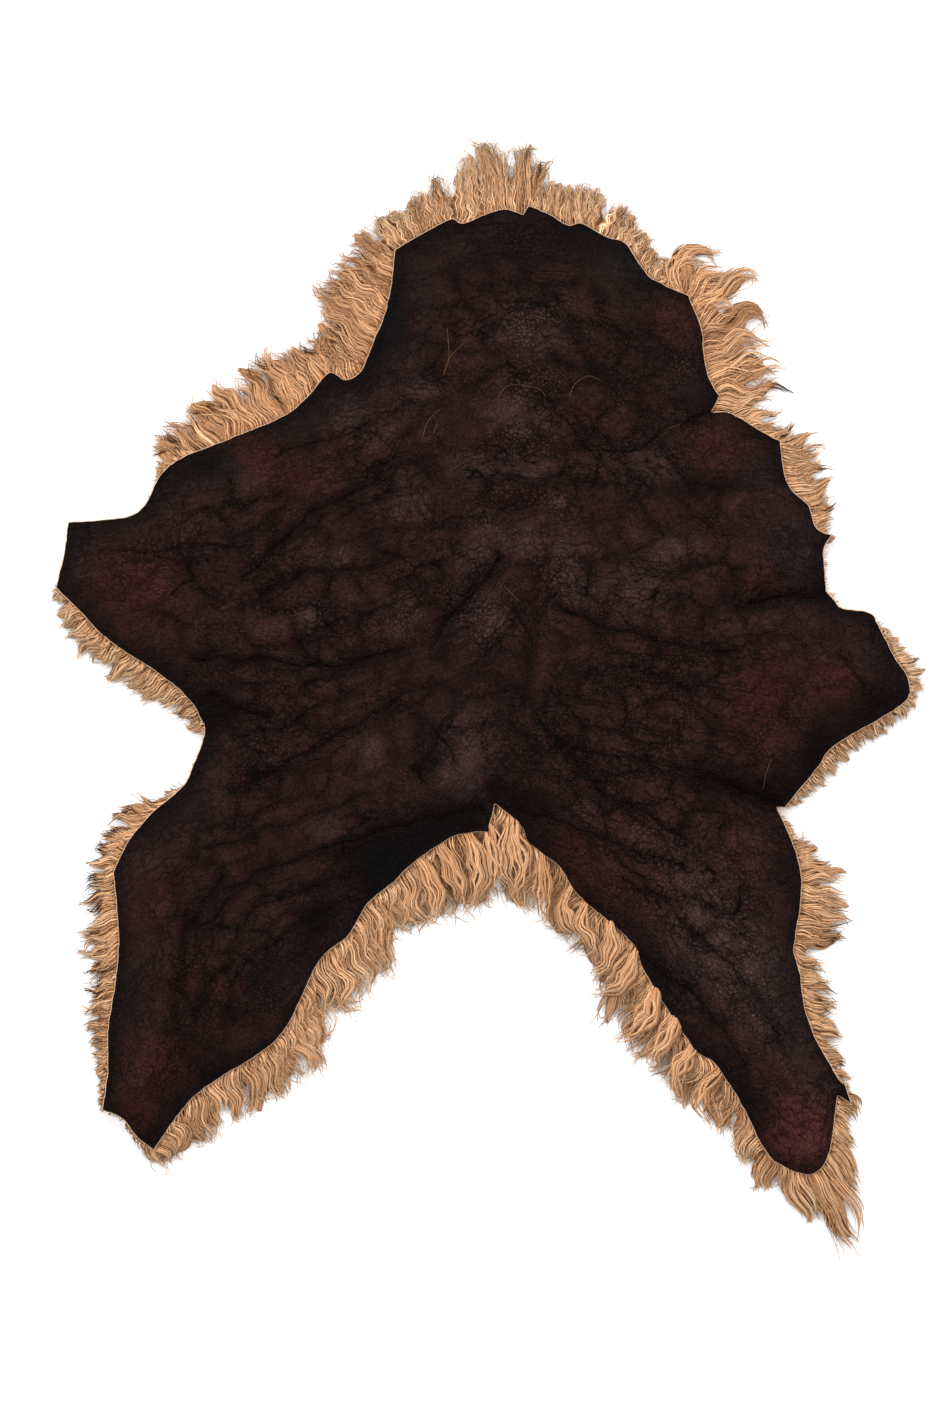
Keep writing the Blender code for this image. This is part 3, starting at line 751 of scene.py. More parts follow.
def leather_finish():
    """Tanned leather: thin dark lines, painted shade in its grooves, and grain over a tone that changes from
    place to place, with painted highlights on its pebbles' tops.
    """
    finish = Finish("tanned_leather")
    product, stretch, patchy, most = finish.product, finish.stretch, finish.patchy, finish.most
    opposite, value, bent, bump = finish.opposite, finish.value, finish.bent, finish.bump

    quiver = bent(finish.place, 210.0, 0.003)
    lined, creased, inside = value("lined"), value("creased"), value("inside")
    cell = finish.cells(quiver, 225.0)
    crackle = stretch(cell, 0.0, 0.13)
    fine_crackle = stretch(finish.cells(quiver, 400.0), 0.0, 0.18)
    wrinkles = finish.along_flow(170.0, 0.0042, 0.030)
    veins = finish.along_flow(62.0, 0.0110, 0.024)
    wrinkles_shown = product(lined, patchy(21.0, 0.34, 0.54, 0.20, 1.0))
    veins_shown = product(lined, patchy(13.0, 0.38, 0.56, 0.15, 1.0))
    banded = product(stretch(inside, 1.0, 5.0, 1.0, 0.0), patchy(9.0, 0.40, 0.60, 0.10, 0.85))
    crackle_shown = most(value("crackle"), banded)
    fine_shown = most(crackle_shown, patchy(12.0, 0.40, 0.62, 0.08, 0.42))

    wander = product(finish.math("SUBTRACT", finish.noise(75.0, 2.0), 0.5), 4.5)
    beside = finish.math("ABSOLUTE", finish.math("ADD", value("beside"), wander))
    fading = patchy(24.0, 0.36, 0.58, 0.45, 1.0)
    crease_shade = product(stretch(beside, 0.20, 1.4, 1.0, 0.0), creased, fading, 0.9)
    partner = stretch(finish.off(beside, 4.6), 0.1, 0.9, 1.0, 0.0)
    border = finish.math("ABSOLUTE", finish.math("ADD", inside, product(wander, 0.35)))
    net_shade = product(stretch(border, 0.20, 1.10, 1.0, 0.0), patchy(22.0, 0.34, 0.54, 0.35, 1.0))
    small_cells = finish.cells(bent(bent(finish.place, 20.0, 0.040), 85.0, 0.009), 68.0)
    small_shown = product(lined, patchy(27.0, 0.42, 0.60, 0.0, 0.90))
    small_net_shade = product(stretch(small_cells, 0.01, 0.085, 1.0, 0.0), small_shown)
    # The dark lines are painted shade in the grooves of the crackle, the wrinkles and veins, the creases and
    # the borders of the soft bulges; the bumps below give the same grooves.
    lines = most(
        product(opposite(crackle), crackle_shown, 0.95),
        product(opposite(fine_crackle), fine_shown, 0.6),
        product(opposite(veins), veins_shown, 0.95),
        product(opposite(wrinkles), wrinkles_shown, 0.85),
        crease_shade,
        product(partner, creased, patchy(30.0, 0.42, 0.62), 0.6),
        net_shade,
        small_net_shade,
    )

    colour = value("tone", "Color")
    blotch = stretch(finish.noise(55.0, 5.0, 0.62), 0.3, 0.7)
    shaded = finish.mix(blotch, finish.times(colour, DEEP), finish.times(colour, BRIGHT))
    grain = stretch(finish.noise(380.0, 3.0, 0.65), 0.34, 0.66)
    shaded = finish.mix(grain, finish.times(shaded, GRAIN_DARK), finish.times(shaded, GRAIN_LIGHT))
    # Lighter tops of the crackle's pebbles: a painted highlight.
    pebble_highlight = product(stretch(cell, 0.10, 0.26), crackle_shown, 0.9)
    shaded = finish.mix(pebble_highlight, shaded, finish.times(shaded, PEBBLE_HIGHLIGHT))
    # Painted shade in the grooves.
    shaded = finish.mix(lines, shaded, (*CREASE_SHADE, 1.0))

    normal = bump(finish.noise(1100.0, 2.0, 0.6), 0.0002, 0.5)
    for height, distance, strength in (
        (product(crackle, crackle_shown), 0.0009, 0.9),
        (product(wrinkles, wrinkles_shown), 0.0006, 0.7),
        (product(veins, veins_shown), 0.0010, 0.7),
        (opposite(crease_shade), 0.0012, 0.8),
        (opposite(most(net_shade, small_net_shade)), 0.0008, 0.8),
    ):
        normal = bump(height, distance, strength, normal)
    rough = stretch(finish.noise(60.0, 4.0), 0.3, 0.7, 0.36, 0.46)
    return finish.finished(
        {"Base Color": shaded, "Roughness": rough, "Specular IOR Level": 0.018, "Normal": normal}
    )


def cut_edge_finish():
    finish = Finish("cut_edge")
    grain = finish.noise(700.0)
    colour = finish.mix(finish.stretch(grain, 0.35, 0.65), CUT_DARK, CUT_LIGHT)
    normal = finish.bump(grain, 0.0004)
    return finish.finished({"Base Color": colour, "Roughness": 0.85, "Normal": normal})


def wool_finish(name):
    """Honey blond wool. Its lines run along each lock, by the locks' own along and across values; their dark
    parts are painted shade between the fibres, and the tint adds the painted shade of the wool's gaps and
    lower layers.
    """
    finish = Finish(name)
    shade, tint = finish.value("shade"), finish.value("tint")
    inputs = {0: finish.product(finish.value("across"), 4.5), 1: finish.product(finish.value("along"), 2.6)}
    lines = finish.noise(1.0, 4.0, 0.62, finish.node("CombineXYZ", inputs).outputs[0])
    low = finish.mix(finish.stretch(shade, 0.0, 0.5), WOOL_ROOT, WOOL_BODY)
    colour = finish.mix(finish.stretch(shade, 0.5, 1.0), low, WOOL_TIP)
    # Darker between the fibres: painted shade.
    colour = finish.mix(finish.stretch(lines, 0.34, 0.54), finish.times(colour, WOOL_GAP_SHADE), colour)
    # The tint darkens the colour, with the wool's own uneven tone and painted shade; its darker values are
    # made warmer.
    warmer, warmest = (finish.math("POWER", tint, power) for power in (1.2, 1.4))
    colour = finish.times(colour, finish.node("CombineColor", {0: tint, 1: warmer, 2: warmest}).outputs[0])
    normal = finish.bump(lines, 0.0009, 0.7)
    return finish.finished(
        {"Base Color": colour, "Roughness": 0.62, "Specular IOR Level": 0.08, "Normal": normal}
    )


def blended(colour, tone, weight):
    return colour * (1 - weight) + tone * weight


def leather_tones(points, shown, distance, crease_shading, margin):
    """The skin's colour at points, from its patches and slow unevenness, with painted shade in its creases,
    painted light on its soft bulges and painted shade between them.
    """
    tones = {name: np.array(tone) for name, tone in LEATHER_TONES.items()}
    uneven = 0.25 * noise_at(points, 60 * MM, 2.9) + 0.35 * noise_at(points, 24 * MM, 5.9)
    # Lighter on the soft bulges and darker between them: painted light and shade of the relief.
    cells = 0.75 * margin - 0.28
    colour = tones["base"] * (1 + uneven + cells)[:, None]
    depth = 32 * MM * np.clip(1.0 + 1.6 * noise_at(points, 90 * MM, 8.3), 0.35, 2.0)
    colour = blended(colour, tones["rim"], RIM_HOLD * (1 - smooth(distance / depth))[:, None])
    for tone, *patches in PATCHES:
        for patch in patches:
            weight = (patch[-1] * patch_share(patch, shown) * TONE_HOLD)[:, None]
            colour = blended(colour, tones[tone] * (1 + 0.7 * cells)[:, None], weight)
    # Darker in the creases: painted shade.
    return blended(colour, np.array(CREASE_SHADE), TONE_HOLD * crease_shading[:, None])


def leather_relief(points, distance):
    """Height of the leather's upper side, and the painted light and shade that its colour takes from its
    bulges and creases.
    """
    depth, *marks = crease_depth(points)
    flow = flow_directions(points)
    margin, inside = rounded_cells(points, distance, flow)
    bulge = BULGE * margin + BULGE_NOISE * noise_at(points, 13 * MM, 6.6)
    relief = smooth(distance / (6 * MM)) * (bulge - depth)
    return ground_height(points, distance) + HIDE_THICKNESS + relief, margin, (*marks, inside, flow)


def make_leather():
    loop = rim.place
    n = len(loop)
    points, faces = triangulated(loop, GRID_STEP, GRID_MARGIN)
    distance = edge_distance(points, n)
    top, margin, (crease_shading, near, beside, inside, flow) = leather_relief(points, distance)
    top[:n] -= CUT_DROP
    upper = np.column_stack([points, top])
    upper[:n, :2] -= rim.out * CUT_SLOPE
    back_points, back_faces = triangulated(loop, BACK_STEP, BACK_STEP * 0.45)
    back_distance = edge_distance(back_points, n)
    back = ground_height(back_points, back_distance) - BACK_SINK * smooth(back_distance / SLAB_ROOM)
    lower = np.column_stack([back_points, back])
    ring, start = np.arange(n), len(upper)
    after = np.roll(ring, -1)
    wall = np.column_stack([ring, after, after + start, ring + start])
    sides = [faces, back_faces[:, ::-1] + start, wall[:, ::-1]]
    hide = make_object("hide_leather", np.vstack([upper, lower]), sides, leather_finish())
    hide.data.materials.append(cut_edge_finish())
    index = np.ones(len(hide.data.polygons), np.int32)
    index[:len(faces)] = 0
    hide.data.polygons.foreach_set("material_index", index)

    shown = warped(warped(points, 16 * MM, 7 * MM, 7.7), 5 * MM, 2.5 * MM, 3.1)
    crackle = 0.5 * near
    for patch in PEBBLED:
        crackle = np.maximum(crackle, patch[-1] * patch_share(patch, shown))
    for tone, *patches in PATCHES:
        for patch in (patches if tone == "light" else ()):
            crackle = np.maximum(crackle, ring_share(patch, shown))
    crackle *= smooth((noise_at(points, 26 * MM, 4.9) + 0.55) / 0.5)
    colour = np.column_stack([leather_tones(points, shown, distance, crease_shading, margin), np.ones(start)])
    for name, values, below, *kind in (
        ("tone", colour, (*LEATHER_TONES["base"], 1.0), "FLOAT_COLOR", "color"),
        ("crackle", crackle, 0.0),
        ("lined", np.minimum(0.75 + 0.40 * near, 1.0), 0.0),
        ("creased", near, 0.0),
        ("inside", inside / MM, FAR),
        ("beside", beside, FAR),
        ("flow", flow, (0.0, 0.0, 0.0), "FLOAT_VECTOR", "vector"),
    ):
        under = np.broadcast_to(below, (len(lower), *np.shape(below)))
        set_values(hide, name, np.concatenate([values, under]), *kind)
    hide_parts("hide")
    return hide


def curve_through(turns, count):
    """Points of a smooth curve through turns noted on the photograph."""
    turns = placed(turns)
    t = np.linspace(0, len(turns) - 1, count)
    first = np.minimum(t.astype(int), len(turns) - 2)
    line = []
    for k, share in zip(first, t - first):
        before, after = turns[max(k - 1, 0)], turns[min(k + 2, len(turns) - 1)]
        line.append(spline_point(before, turns[k], turns[k + 1], after, share))
    return np.array(line)


def add_wool(name, points, faces, material, values):
    """A mesh of wool, with the values that its finish reads."""
    piece = make_object(name, points, faces, material)
    for key, value in values.items():
        set_values(piece, key, value)
    return piece


def make_loose_hairs():
    """A few stray hairs lying on the leather."""
    paths = []
    for turns in STRAY_HAIRS:
        line = curve_through(turns, STRAY_STEPS + 1)
        height = leather_relief(line, edge_distance(line))[0] + STRAY_LIFT
        paths.append(np.column_stack([line, height]))
    paths = np.array(paths)
    points, faces = hair_arrays(paths, np.full(paths.shape[:2], TIP_WIDTH), 1.0)
    values = {"shade": 0.9, "tint": 0.32, "across": 0.5, "along": 0.5}
    add_wool("loose_hairs", points, faces, wool_finish("loose_wool"), values)


def make_slab():
    """The mass of wool under the hide and past its edge, flat below and lumpy above."""
    every = max(1, round(SLAB_STEP / RIM_STEP))
    pick = np.arange(0, len(rim.place) - every + 1, every)
    place, out, wool = rim.place[pick], rim.out[pick], rim.wool[pick]
    loop = place - out * SLAB_INSET
    n = len(loop)
    points, faces = triangulated(loop, SLAB_GRID, SLAB_GRID * 0.7)
    distance = edge_distance(points)
    height = ground_height(points, distance) - SEAT_GAP - SLAB_SINK * smooth(distance / SLAB_ROOM)
    lump = 1 + 0.30 * noise_at(place, 16 * MM, 5.5)
    parts = [np.column_stack([points, height])]
    for share, fall in SKIRT:
        spot = loop + wool * (share * lump)[:, None] + out * SLAB_INSET * share
        rise = height[:n] * fall * (1 + 0.35 * noise_at(spot, 9 * MM, 2.2))
        parts.append(np.column_stack([spot, rise]))
    parts += [parts[-1] * (1, 1, 0), parts[0] * (1, 1, 0)]
    ring = np.arange(n)
    after = np.roll(ring, -1)
    starts = np.cumsum([0] + [len(part) for part in parts])
    quads = [
        np.column_stack([ring + inner, after + inner, after + outer, ring + outer])[:, ::-1]
        for inner, outer in zip(starts[:-2], starts[1:-1])
    ]
    made = np.vstack(parts)
    faces = [faces, (faces + starts[-2])[:, ::-1], *quads]
    across, along = made @ np.array((9.0, 7.0, 3.0)), made @ np.array((-7.0, 11.0, 0.0))
    # The low tint is painted shade of the wool mass that lies under the hide and the locks.
    values = {"shade": 0.15, "tint": 0.62, "across": across, "along": along}
    slab = add_wool("fleece_mass", made, faces, wool_finish("wool_mass"), values)
    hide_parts("fleece")


class Tufts:
    """The tufts of one layer of wool: where they root, where their tips lie, and how they wave."""

    def __init__(self, layer):
        self.layer = layer
        spots, widths = [], []
        at = 0.0
        while at < rim.total:
            tuft = Style(*rim.at(np.array([at]), rim.style)[0]).tuft
            width = tuft * MM * layer.tuft * rng.uniform(0.6, 1.45)
            spots.append(at + width / 2)
            widths.append(width)
            at += width
        reach = np.linalg.norm(rim.at(spots, rim.wool), axis=1)
        keep = (reach >= layer.least * MM) & (reach < layer.most * MM)
        self.spots, self.widths = np.array(spots)[keep], np.array(widths)[keep]
        self.count = n = len(self.spots)
        self.style = style = Style(*rim.at(self.spots, rim.style).T)
        wool, out = rim.at(self.spots, rim.wool), rim.at(self.spots, rim.out)
        slow = np.array([[noise.noise((s / span, k, 0.0)) for s in self.spots]
                         for span, k in ((0.055, 0.3), (0.075, 7.3), (0.11, 3.1))])
        lay = np.arctan2(wool[:, 1], wool[:, 0])
        lay += np.radians(style.spread) * (rng.normal(0, 0.35 + layer.loose, n) + 1.1 * slow[0])
        facing = np.cos(lay) * out[:, 0] + np.sin(lay) * out[:, 1]
        self.half = self.widths / 2 * np.clip(facing, 0.35, 1.0)
        share = rng.uniform(*layer.reach, n)
        if 1 < layer.reach[1] < 1.2:
            share = 1 + (share - 1) * style.ragged
        reach = reach[keep] * share
        way = headings(lay)
        self.tip = rim.at(self.spots, rim.place) + way * reach[:, None]
        self.aside = np.stack([way[:, 1], -way[:, 0]], 1)
        self.side = np.where(slow[0] > 0, 1.0, -1.0) * rng.choice((1.0, 1.0, -1.0), n)
        self.phase = math.tau * 1.6 * slow[1] + rng.normal(0, 0.8, n)
        self.turns = (reach + ROOT_DEPTH) * rng.uniform(0.95, 1.35, n) / (style.span * MM)
        self.bend = np.radians(style.bend + rng.normal(0, 10 + 1.5 * style.wave))
        self.slope = np.arctan(math.tau * style.wave / style.span)
        self.slope *= (0.85 + 0.7 * slow[2]) * rng.uniform(0.85, 1.2, n)
        self.level = rng.uniform(*layer.height, n)
        # The layer's tone brings its painted light and shade; the rest varies the wool's own tone at random.
        self.tint = layer.tone * rng.normal(1.0, 0.06, n)
        self.shared = rng.normal(0, 1, ((n + 1) * RIDGES_A_TUFT, 5))
        self.specked = rng.uniform(0, 1, n) < 1.3 * style.dark

    def members(self, density):
        """The hairs that make up the tufts: the tuft of each, and its share across the tuft."""
        counts = np.maximum(1, np.round(self.widths / MM * density / self.style.fine)).astype(int)
        tuft = np.repeat(np.arange(self.count), counts)
        rank = np.arange(len(tuft)) - np.repeat(np.cumsum(counts) - counts, counts)
        return tuft, 2 * (rank + rng.uniform(0.1, 0.9, len(tuft))) / counts[tuft] - 1

    def ridges(self, tuft, across):
        """Each tuft is a few ridges of hairs that run together: what each hair shares, and its place."""
        size = RIDGE_SHARE * self.style.tuft[tuft] * MM
        at = (across + 1.5) * self.half[tuft] / size
        number = np.floor(at).astype(int)
        return self.shared[tuft * RIDGES_A_TUFT + number], at - number - 0.5, size

    def paths(self, tuft, across, level, frizz, curl):
        """Paths from under the hide's edge to the wool's tips."""
        shared, beside, size = self.ridges(tuft, across)
        spot = self.spots[tuft] + across * self.widths[tuft] / 2
        root = rim.at(spot, rim.place)
        base = root - rim.at(spot, rim.out) * ROOT_DEPTH
        style = Style(*(values[tuft, None] for values in self.style))
        aside, half = self.aside[tuft], (across * self.half[tuft])[:, None]
        goal = self.tip[tuft] + aside * half - base
        u = (np.arange(PATH_STEPS) + 0.5) / PATH_STEPS
        phase = self.phase[tuft] + rng.normal(0, 0.04 + 0.5 * self.layer.loose, len(tuft))
        phase += 0.28 * shared[:, 0]
        turn = math.tau * u * self.turns[tuft, None] + phase[:, None]
        wave = self.slope[tuft, None] * np.minimum(1, u * 2.5 + 0.2) * np.cos(turn)
        heading = self.bend[tuft, None] * (1 - 2 * u) + wave
        end = np.stack([np.cos(heading).mean(1), np.sin(heading).mean(1)], 1)
        reach = np.linalg.norm(goal, axis=1)
        length = (reach / np.linalg.norm(end, axis=1))[:, None]
        heading += (np.arctan2(goal[:, 1], goal[:, 0]) - np.arctan2(end[:, 1], end[:, 0]))[:, None]
        own = math.tau * shared[:, 1:3].T[:, :, None] + rng.normal(0, 0.5, (2, len(tuft), 1))
        for shift, (span, share) in zip(own, FRIZZ_WAVES):
            ripple = np.cos(math.tau * u * length / span + shift)
            heading += np.radians(style.frizz) * frizz * share * ripple * np.sqrt(u)
        turned = np.radians(style.curl) * (curl * np.minimum(1, reach / CURL_REACH))[:, None]
        heading += turned * smooth((u - 0.68) / 0.32)
        start = np.minimum(0.9, (ROOT_DEPTH + 1 * MM) / reach)[:, None]
        fall = np.clip((PATH_SHARES - start) / (1 - start), 0, 1)
        pull = -half * style.gather * smooth((fall - 0.3) / 0.7)
        pull = pull - 1.1 * style.gather * (beside * size)[:, None] * smooth((fall - 0.35) / 0.6)
        x, y = (
            np.concatenate([np.zeros((len(tuft), 1)), np.cumsum(step * length / PATH_STEPS, 1)], 1)
            + (base[:, k, None] + aside[:, k, None] * pull)
            for k, step in enumerate((np.cos(heading), np.sin(heading)))
        )
        height = ground_height(root, np.zeros(len(root)))[:, None]
        z = height * level[:, None] * (1 - 0.86 * fall**0.9)
        z += TUFT_DOME * (1 - across**2)[:, None] * smooth(fall / 0.12) * (1 - 0.75 * fall)
        dome = RIDGE_DOME * np.minimum(1, 0.25 + 2 * style.gather)
        z += dome * (0.5 - 4 * beside**2)[:, None] * smooth(fall / 0.06) * (1 - 0.6 * fall)
        lift = np.concatenate([turn, turn[:, -1:]], 1)
        z += 0.20 * style.wave * MM * np.sin(lift) * smooth(fall / 0.2) * (1 - 0.5 * fall)
        z = np.clip(z, STRAND_FLOOR, height * 0.94 + PUFF * smooth(fall / 0.2))
        return np.stack([x, y, z], 2)


def cut_paths(paths, shares, ends):
    """Points of paths at shares of the part of each that is kept, up to its end."""
    at = np.clip(shares[None, :] * ends[:, None], 0, 1) * PATH_STEPS
    low = np.minimum(at.astype(int), PATH_STEPS - 1)
    part = (at - low)[..., None]
    rows = np.arange(len(paths))[:, None]
    return paths[rows, low] * (1 - part) + paths[rows, low + 1] * part


def tube_faces(count, rings, columns):
    """Quads round each of some closed tubes, and the faces of their two ends."""
    first = np.arange(count)[:, None, None] * rings * columns
    ring = np.arange(rings - 1)[None, :, None] * columns
    k = np.arange(columns)[None, None, :]
    low, beside = first + ring + k, first + ring + (k + 1) % columns
    quads = np.stack([low, beside, beside + columns, low + columns], 3).reshape(-1, 4)
    head = first[:, :, 0] + k[0]
    return quads, head[:, ::-1], head + (rings - 1) * columns


def unit(ways):
    return ways / np.maximum(np.linalg.norm(ways, axis=2, keepdims=True), 1e-9)


def grow_bodies(tufts, material):
    """A closed low body under each tuft."""
    tuft, zero = np.arange(tufts.count), np.zeros(tufts.count)
    paths = tufts.paths(tuft, zero, tufts.level * 0.8, 0.0, zero)
    s = np.linspace(0, 1, BODY_STEPS + 1)
    paths = cut_paths(paths, s, rng.uniform(0.74, 0.90, tufts.count))
    gather = tufts.style.gather[:, None] * smooth((s - 0.3) / 0.7)
    taper = (1 - 0.8 * gather) * np.sqrt(np.clip(1.02 - np.clip((s - 0.35) / 0.65, 0, 1) ** 1.4, 0.0004, 1))
    half = (tufts.half[:, None] * 1.05 * taper)[:, :, None]
    v = np.linspace(-1, 1, BODY_COLUMNS)
    run = unit(np.gradient(paths[:, :, :2], axis=1))
    crown = np.repeat(paths[:, :, None], BODY_COLUMNS, 2)
    crown[..., 0] -= run[:, :, None, 1] * half * v
    crown[..., 1] += run[:, :, None, 0] * half * v
    ridge = BODY_ROUGH * rng.normal(0, 1, (tufts.count, 1, BODY_COLUMNS)) * (1 - v**2)
    crown[..., 2] += (BODY_DOME * (0.5 - v**2) + ridge) * taper[:, :, None] - BODY_SINK
    crown[..., 2] = np.maximum(crown[..., 2], BODY_FLOOR)
    middle = crown[:, :, BODY_COLUMNS // 2].copy()
    middle[:, :, 2] = np.maximum(np.minimum(crown[:, :, 0, 2], crown[:, :, -1, 2]) - 0.8 * MM, 0.2 * MM)
    points = np.concatenate([crown, middle[:, :, None]], 2)
    across = np.append(v, 0.0) * tufts.half[:, None, None] / (1.2 * MM)
    across = across + (tuft * LINE_SHIFT)[:, None, None]
    # Darker towards the bodies' sides and darker as a whole: painted shade between and under the tufts.
    edge = 1 - 0.30 * np.abs(np.append(v, 1.0)) ** 3
    values = {
        "shade": (0.15 + 0.45 * s)[:, None],
        "tint": BODY_SHADE * tufts.tint[:, None, None] * edge,
        "across": across,
        "along": (s * LINE_RUN)[:, None],
    }
    values = {name: np.broadcast_to(value, points.shape[:3]) for name, value in values.items()}
    faces = [part[:, ::-1] for part in tube_faces(*points.shape[:3])]
    add_wool("wool_bodies", points.reshape(-1, 3), faces, material, values)


def hair_taper(s):
    return (1 - 0.25 * s) * (1 - np.clip((s - 0.5) / 0.5, 0, 1) ** 1.5) ** 0.8


def ridge_shade(beside):
    """Darker between the ridges of a tuft or lock."""
    return 1 - RIDGE_GAP * (1 - smooth((0.5 - np.abs(beside)) / 0.20))


def grow_hairs(tufts):
    """The hairs of a layer: paths, half widths and values by hair and step."""
    style, layer = tufts.style, tufts.layer
    tuft, across = tufts.members(layer.density)
    count = len(tuft)
    level = np.clip(tufts.level[tuft] + rng.uniform(-0.14, 0.14, count), 0.08, 0.95)
    curl = tufts.side[tuft] * rng.uniform(0.0, 1.3, count)
    wild = rng.uniform(0, 1, count) < 0.25 + 0.5 * layer.loose
    curl = np.where(wild, rng.choice((-1.0, 1.0), count) * rng.uniform(0.4, 1.5, count), curl)
    frizz = (1 + 1.3 * layer.loose) * rng.uniform(0.5, 1.4, (count, 1))
    paths = tufts.paths(tuft, across, level, frizz, curl)
    shared, beside, _ = tufts.ridges(tuft, across)
    ends = (1 - 0.5 * style.gather[tuft] * np.abs(across) ** 1.6) * rng.uniform(0.70, 1.06, count)
    ends *= 1 + 0.05 * np.clip(shared[:, 3], -2, 1)
    s = np.linspace(0, 1, layer.steps + 1) ** 0.95
    width = layer.width * MM * style.fine[tuft, None] * rng.uniform(0.65, 1.3, (count, 1))
    pale = (0.75 + 0.5 * style.pale[tuft])[:, None]
    shade = (0.24 + 0.50 * s) * pale + (0.2 * level - 0.04)[:, None] + rng.normal(0, 0.06, (count, 1))
    contrast = 0.06 + 0.005 * style.frizz[tuft]
    tone = tufts.tint[tuft] * np.exp(rng.normal(0, 1, count) * contrast + 0.07 * shared[:, 4])
    tone *= np.where(rng.uniform(0, 1, count) < 0.07, 0.66, 1.0)
    # Darker in the gaps between ridges and at the tuft's sides: painted shade.
    tone *= ridge_shade(beside) * (1 - 0.22 * np.abs(across) ** 3)
    tint = np.repeat(tone[:, None], len(s), 1)
    is_dark = rng.uniform(0, 1, count) < style.dark[tuft] * (0.4 + 1.5 * layer.loose)
    tint[is_dark] *= 1 - 0.88 * smooth((s - 0.40) / 0.3)
    is_specked = tufts.specked[tuft] & (np.abs(across - 0.3) < 0.55)
    tint[is_specked] *= 1 - 0.86 * smooth((s - 0.66) / 0.12)
    return cut_paths(paths, s, ends), TIP_WIDTH + width * hair_taper(s), shade, tint


def grow_lock(width, turns):
    """The hairs of one listed lock, over the rest of the wool: paths, half widths and values."""
    size, ridge = width * MM, LOCK_RIDGE * width * MM
    middle = curve_through(turns, PATH_STEPS + 1)
    run = np.gradient(middle, axis=0)
    run /= np.linalg.norm(run, axis=1, keepdims=True)
    aside = np.column_stack([run[:, 1], -run[:, 0]])
    count = int(width * LOCK_DENSITY)
    across = np.sort(rng.uniform(-1, 1, count))
    beside = (across + 1) * size / 2 / ridge
    number = beside.astype(int)
    beside = beside - number - 0.5
    shared = rng.normal(0, 1, (number.max() + 1, 3))[number]
    t = PATH_SHARES[None, :]
    spread = (0.40 + 0.60 * smooth(t / 0.40)) * (1 - 0.70 * smooth((t - 0.40) / 0.60))
    off = (across * size / 2)[:, None] * spread
    off = off - 0.35 * (beside * ridge)[:, None] * smooth((t - 0.3) / 0.6)
    waves = np.hypot(*np.diff(middle, axis=0).T).sum() / LOCK_WAVE
    phase = 0.16 * shared[:, :1] + rng.normal(0, 0.03, (count, 1)) + rng.uniform(0, 1)
    phase = phase + 0.25 * across[:, None]
    off = off + LOCK_SWAY * np.sin(math.tau * (t * waves + phase)) * smooth(t / 0.25)
    ripple = np.cos(math.tau * (t * waves * 1.7 + 0.2 * across[:, None]))
    scatter = rng.normal(0, LOCK_SCATTER, (count, 1)) * ripple
    off = off + scatter * smooth((t - 0.6) / 0.4)
    flat = middle[None] + aside[None] * off[..., None]
    nearest = np.array([np.argmin(np.hypot(*(rim.place - first).T)) for first in flat[:, 0]])
    height = ground_height(rim.place[nearest], np.zeros(count))[:, None]
    root = rim.place[nearest] - rim.out[nearest] * ROOT_DEPTH
    hold = (1 - smooth(PATH_SHARES / 0.30))[None, :, None]
    flat = flat * (1 - hold) + (flat - flat[:, :1] + root[:, None]) * hold
    fall = np.clip((t - 0.06) / 0.94, 0, 1)
    z = height * (0.92 - 0.55 * fall**1.2) + PUFF * 1.5 * smooth(fall / 0.12) * (1 - 0.6 * fall)
    dome = TUFT_DOME * (1 - across**2) + RIDGE_DOME * (0.5 - 4 * beside**2)
    z = z + dome[:, None] * smooth(fall / 0.12)
    paths = np.concatenate([flat, z[..., None]], 2)
    s = np.linspace(0, 1, LOCK_STEPS + 1)
    paths = cut_paths(paths, s, (1 - 0.14 * np.abs(across) ** 1.6) * rng.uniform(0.72, 1.0, count))
    half = TIP_WIDTH + LOCK_HAIR * rng.uniform(0.6, 1.3, (count, 1)) * hair_taper(s)
    shade = 0.28 + 0.40 * s + rng.normal(0, 0.07, (count, 1))
    tone = 0.98 * np.exp(rng.normal(0, 0.11, count) + 0.07 * shared[:, 1])
    # Darker in the gaps between ridges and at the lock's sides: painted shade.
    tone *= ridge_shade(beside) * (1 - 0.25 * np.abs(across) ** 3)
    return paths, half, shade, np.repeat(tone[:, None], len(s), 1)


def hair_arrays(paths, half, rise):
    """Closed three-sided hairs along paths, flat below."""
    along = unit(np.gradient(paths, axis=1))
    side = unit(np.cross(along, (0.0, 0.0, 1.0)))
    up, half = np.cross(side, along), half[:, :, None]
    points = np.stack((paths + side * half, paths + up * half * rise, paths - side * half), 2)
    return points.reshape(-1, 3), tube_faces(*points.shape[:3])


def add_hairs(name, material, rise, paths, half, shade, tint):
    """One mesh of hairs, with the values that its finish reads."""
    points, faces = hair_arrays(paths, half, rise)
    shape = (*half.shape, 3)
    across = (np.arange(shape[0]) * LINE_SHIFT)[:, None, None] + np.array((-0.5, 0.0, 0.5))
    along = np.linspace(0, LINE_RUN, shape[1])[:, None]
    values = {"shade": shade[..., None], "tint": tint[..., None], "across": across, "along": along}
    values = {key: np.broadcast_to(value, shape) for key, value in values.items()}
    add_wool(name, points, faces, material, values)


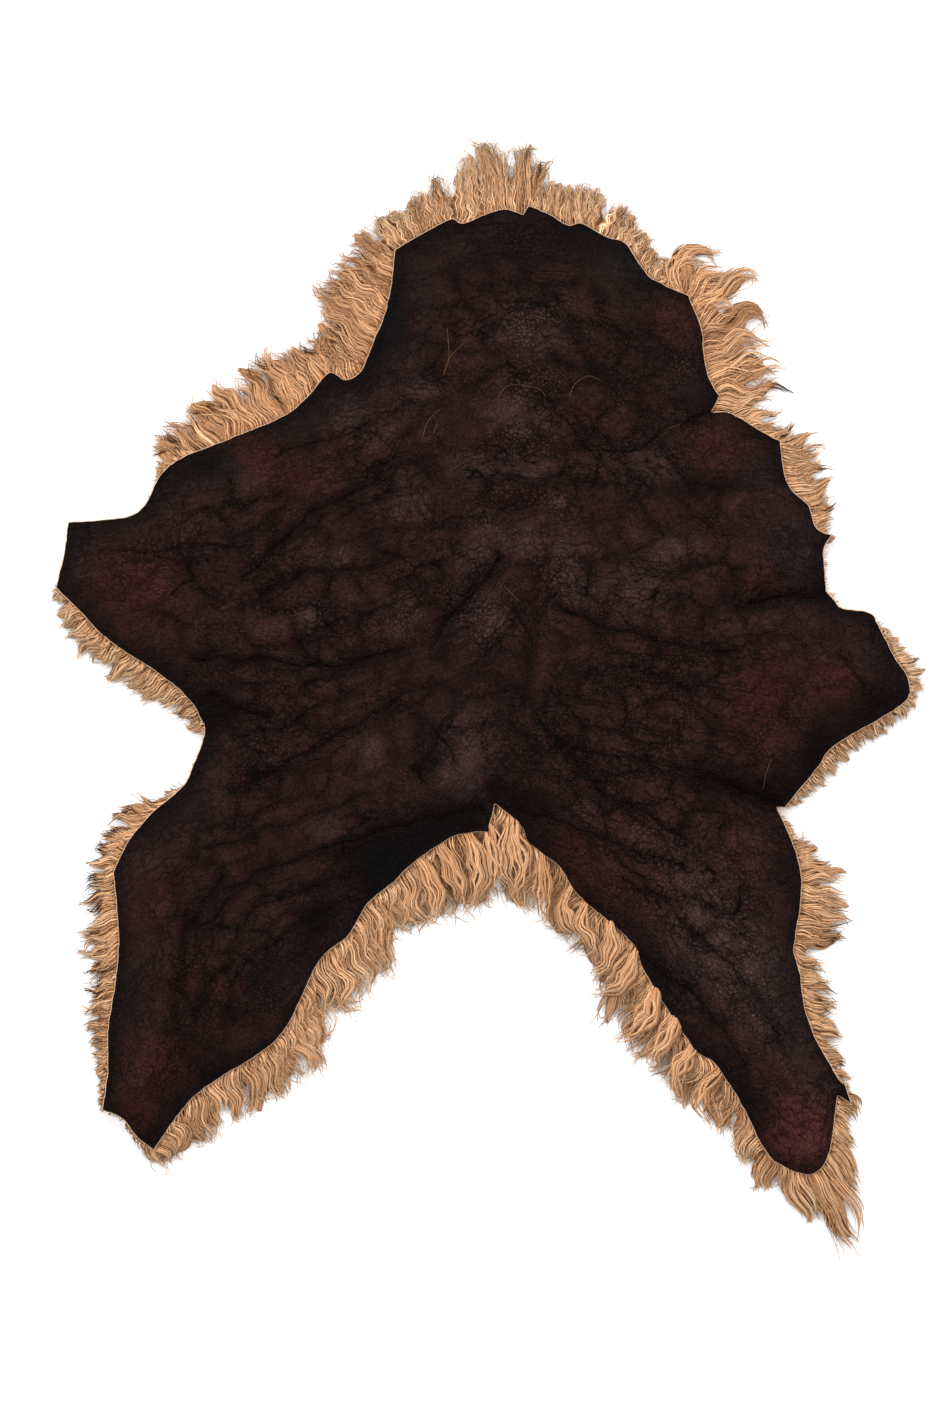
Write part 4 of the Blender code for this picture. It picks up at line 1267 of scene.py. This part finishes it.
def make_wool():
    material = wool_finish("curly_wool")
    for layer in LAYERS:
        tufts = Tufts(layer)
        if layer.name == "low":
            grow_bodies(tufts, material)
        grown = grow_hairs(tufts)
        order = rng.permutation(len(grown[0]))
        groups = math.ceil(len(order) / HAIRS_A_MESH)
        for number, pick in enumerate(np.array_split(order, groups)):
            add_hairs(f"wool_{layer.name}_{number + 1}", material, layer.rise, *(part[pick] for part in grown))
    locks = [grow_lock(width, turns) for width, *turns in TOP_LOCKS]
    add_hairs("wool_top", material, LOCK_RISE, *(np.concatenate(part) for part in zip(*locks)))


def make_floor():
    finish = Finish("pale_floor")
    colour = finish.mix(finish.noise(90.0, 2.0), (0.90, 0.90, 0.90, 1.0), (0.93, 0.93, 0.93, 1.0))
    bpy.ops.mesh.primitive_plane_add(size=FLOOR_SIZE, location=(0, 0, -FLOOR_DROP))
    floor = bpy.context.object
    floor.name = "studio_floor"
    inputs = {"Base Color": colour, "Roughness": 0.9, "Specular IOR Level": 0.1}
    floor.data.materials.append(finish.finished(inputs))


def add_light(name, azimuth, elevation, power):
    data = bpy.data.lights.new(name, "AREA")
    data.shape = "DISK"
    data.size = LAMP_SIZE
    data.energy = power
    lamp = bpy.data.objects.new(name, data)
    a, e = math.radians(azimuth), math.radians(elevation)
    way = Vector((math.cos(a) * math.cos(e), math.sin(a) * math.cos(e), math.sin(e)))
    lamp.location = way * LAMP_DISTANCE
    lamp.rotation_mode = "QUATERNION"
    lamp.rotation_quaternion = way.to_track_quat("Z", "Y")
    bpy.context.scene.collection.objects.link(lamp)


def make_studio():
    scene = bpy.context.scene
    make_floor()
    scene.world = bpy.data.worlds.new("studio")
    scene.world.use_nodes = True
    inputs = scene.world.node_tree.nodes["Background"].inputs
    inputs["Color"].default_value = (1.0, 1.0, 1.0, 1.0)
    inputs["Strength"].default_value = WORLD_LIGHT
    add_light("soft_left", 165, 34, 125)
    add_light("soft_right", 15, 34, 110)
    add_light("soft_top", 95, 36, 85)
    scene.view_settings.view_transform = "Standard"
    camera = bpy.data.objects.new("camera", bpy.data.cameras.new("camera"))
    camera.data.sensor_width = SENSOR_WIDTH
    camera.data.lens = SENSOR_WIDTH * (CAMERA_HEIGHT - SKIN_TOP) / FRAME_HEIGHT
    camera.location = CAMERA_PLACE
    scene.collection.objects.link(camera)
    scene.camera = camera


make_studio()
hide = make_leather()
make_loose_hairs()
make_slab()
make_wool()
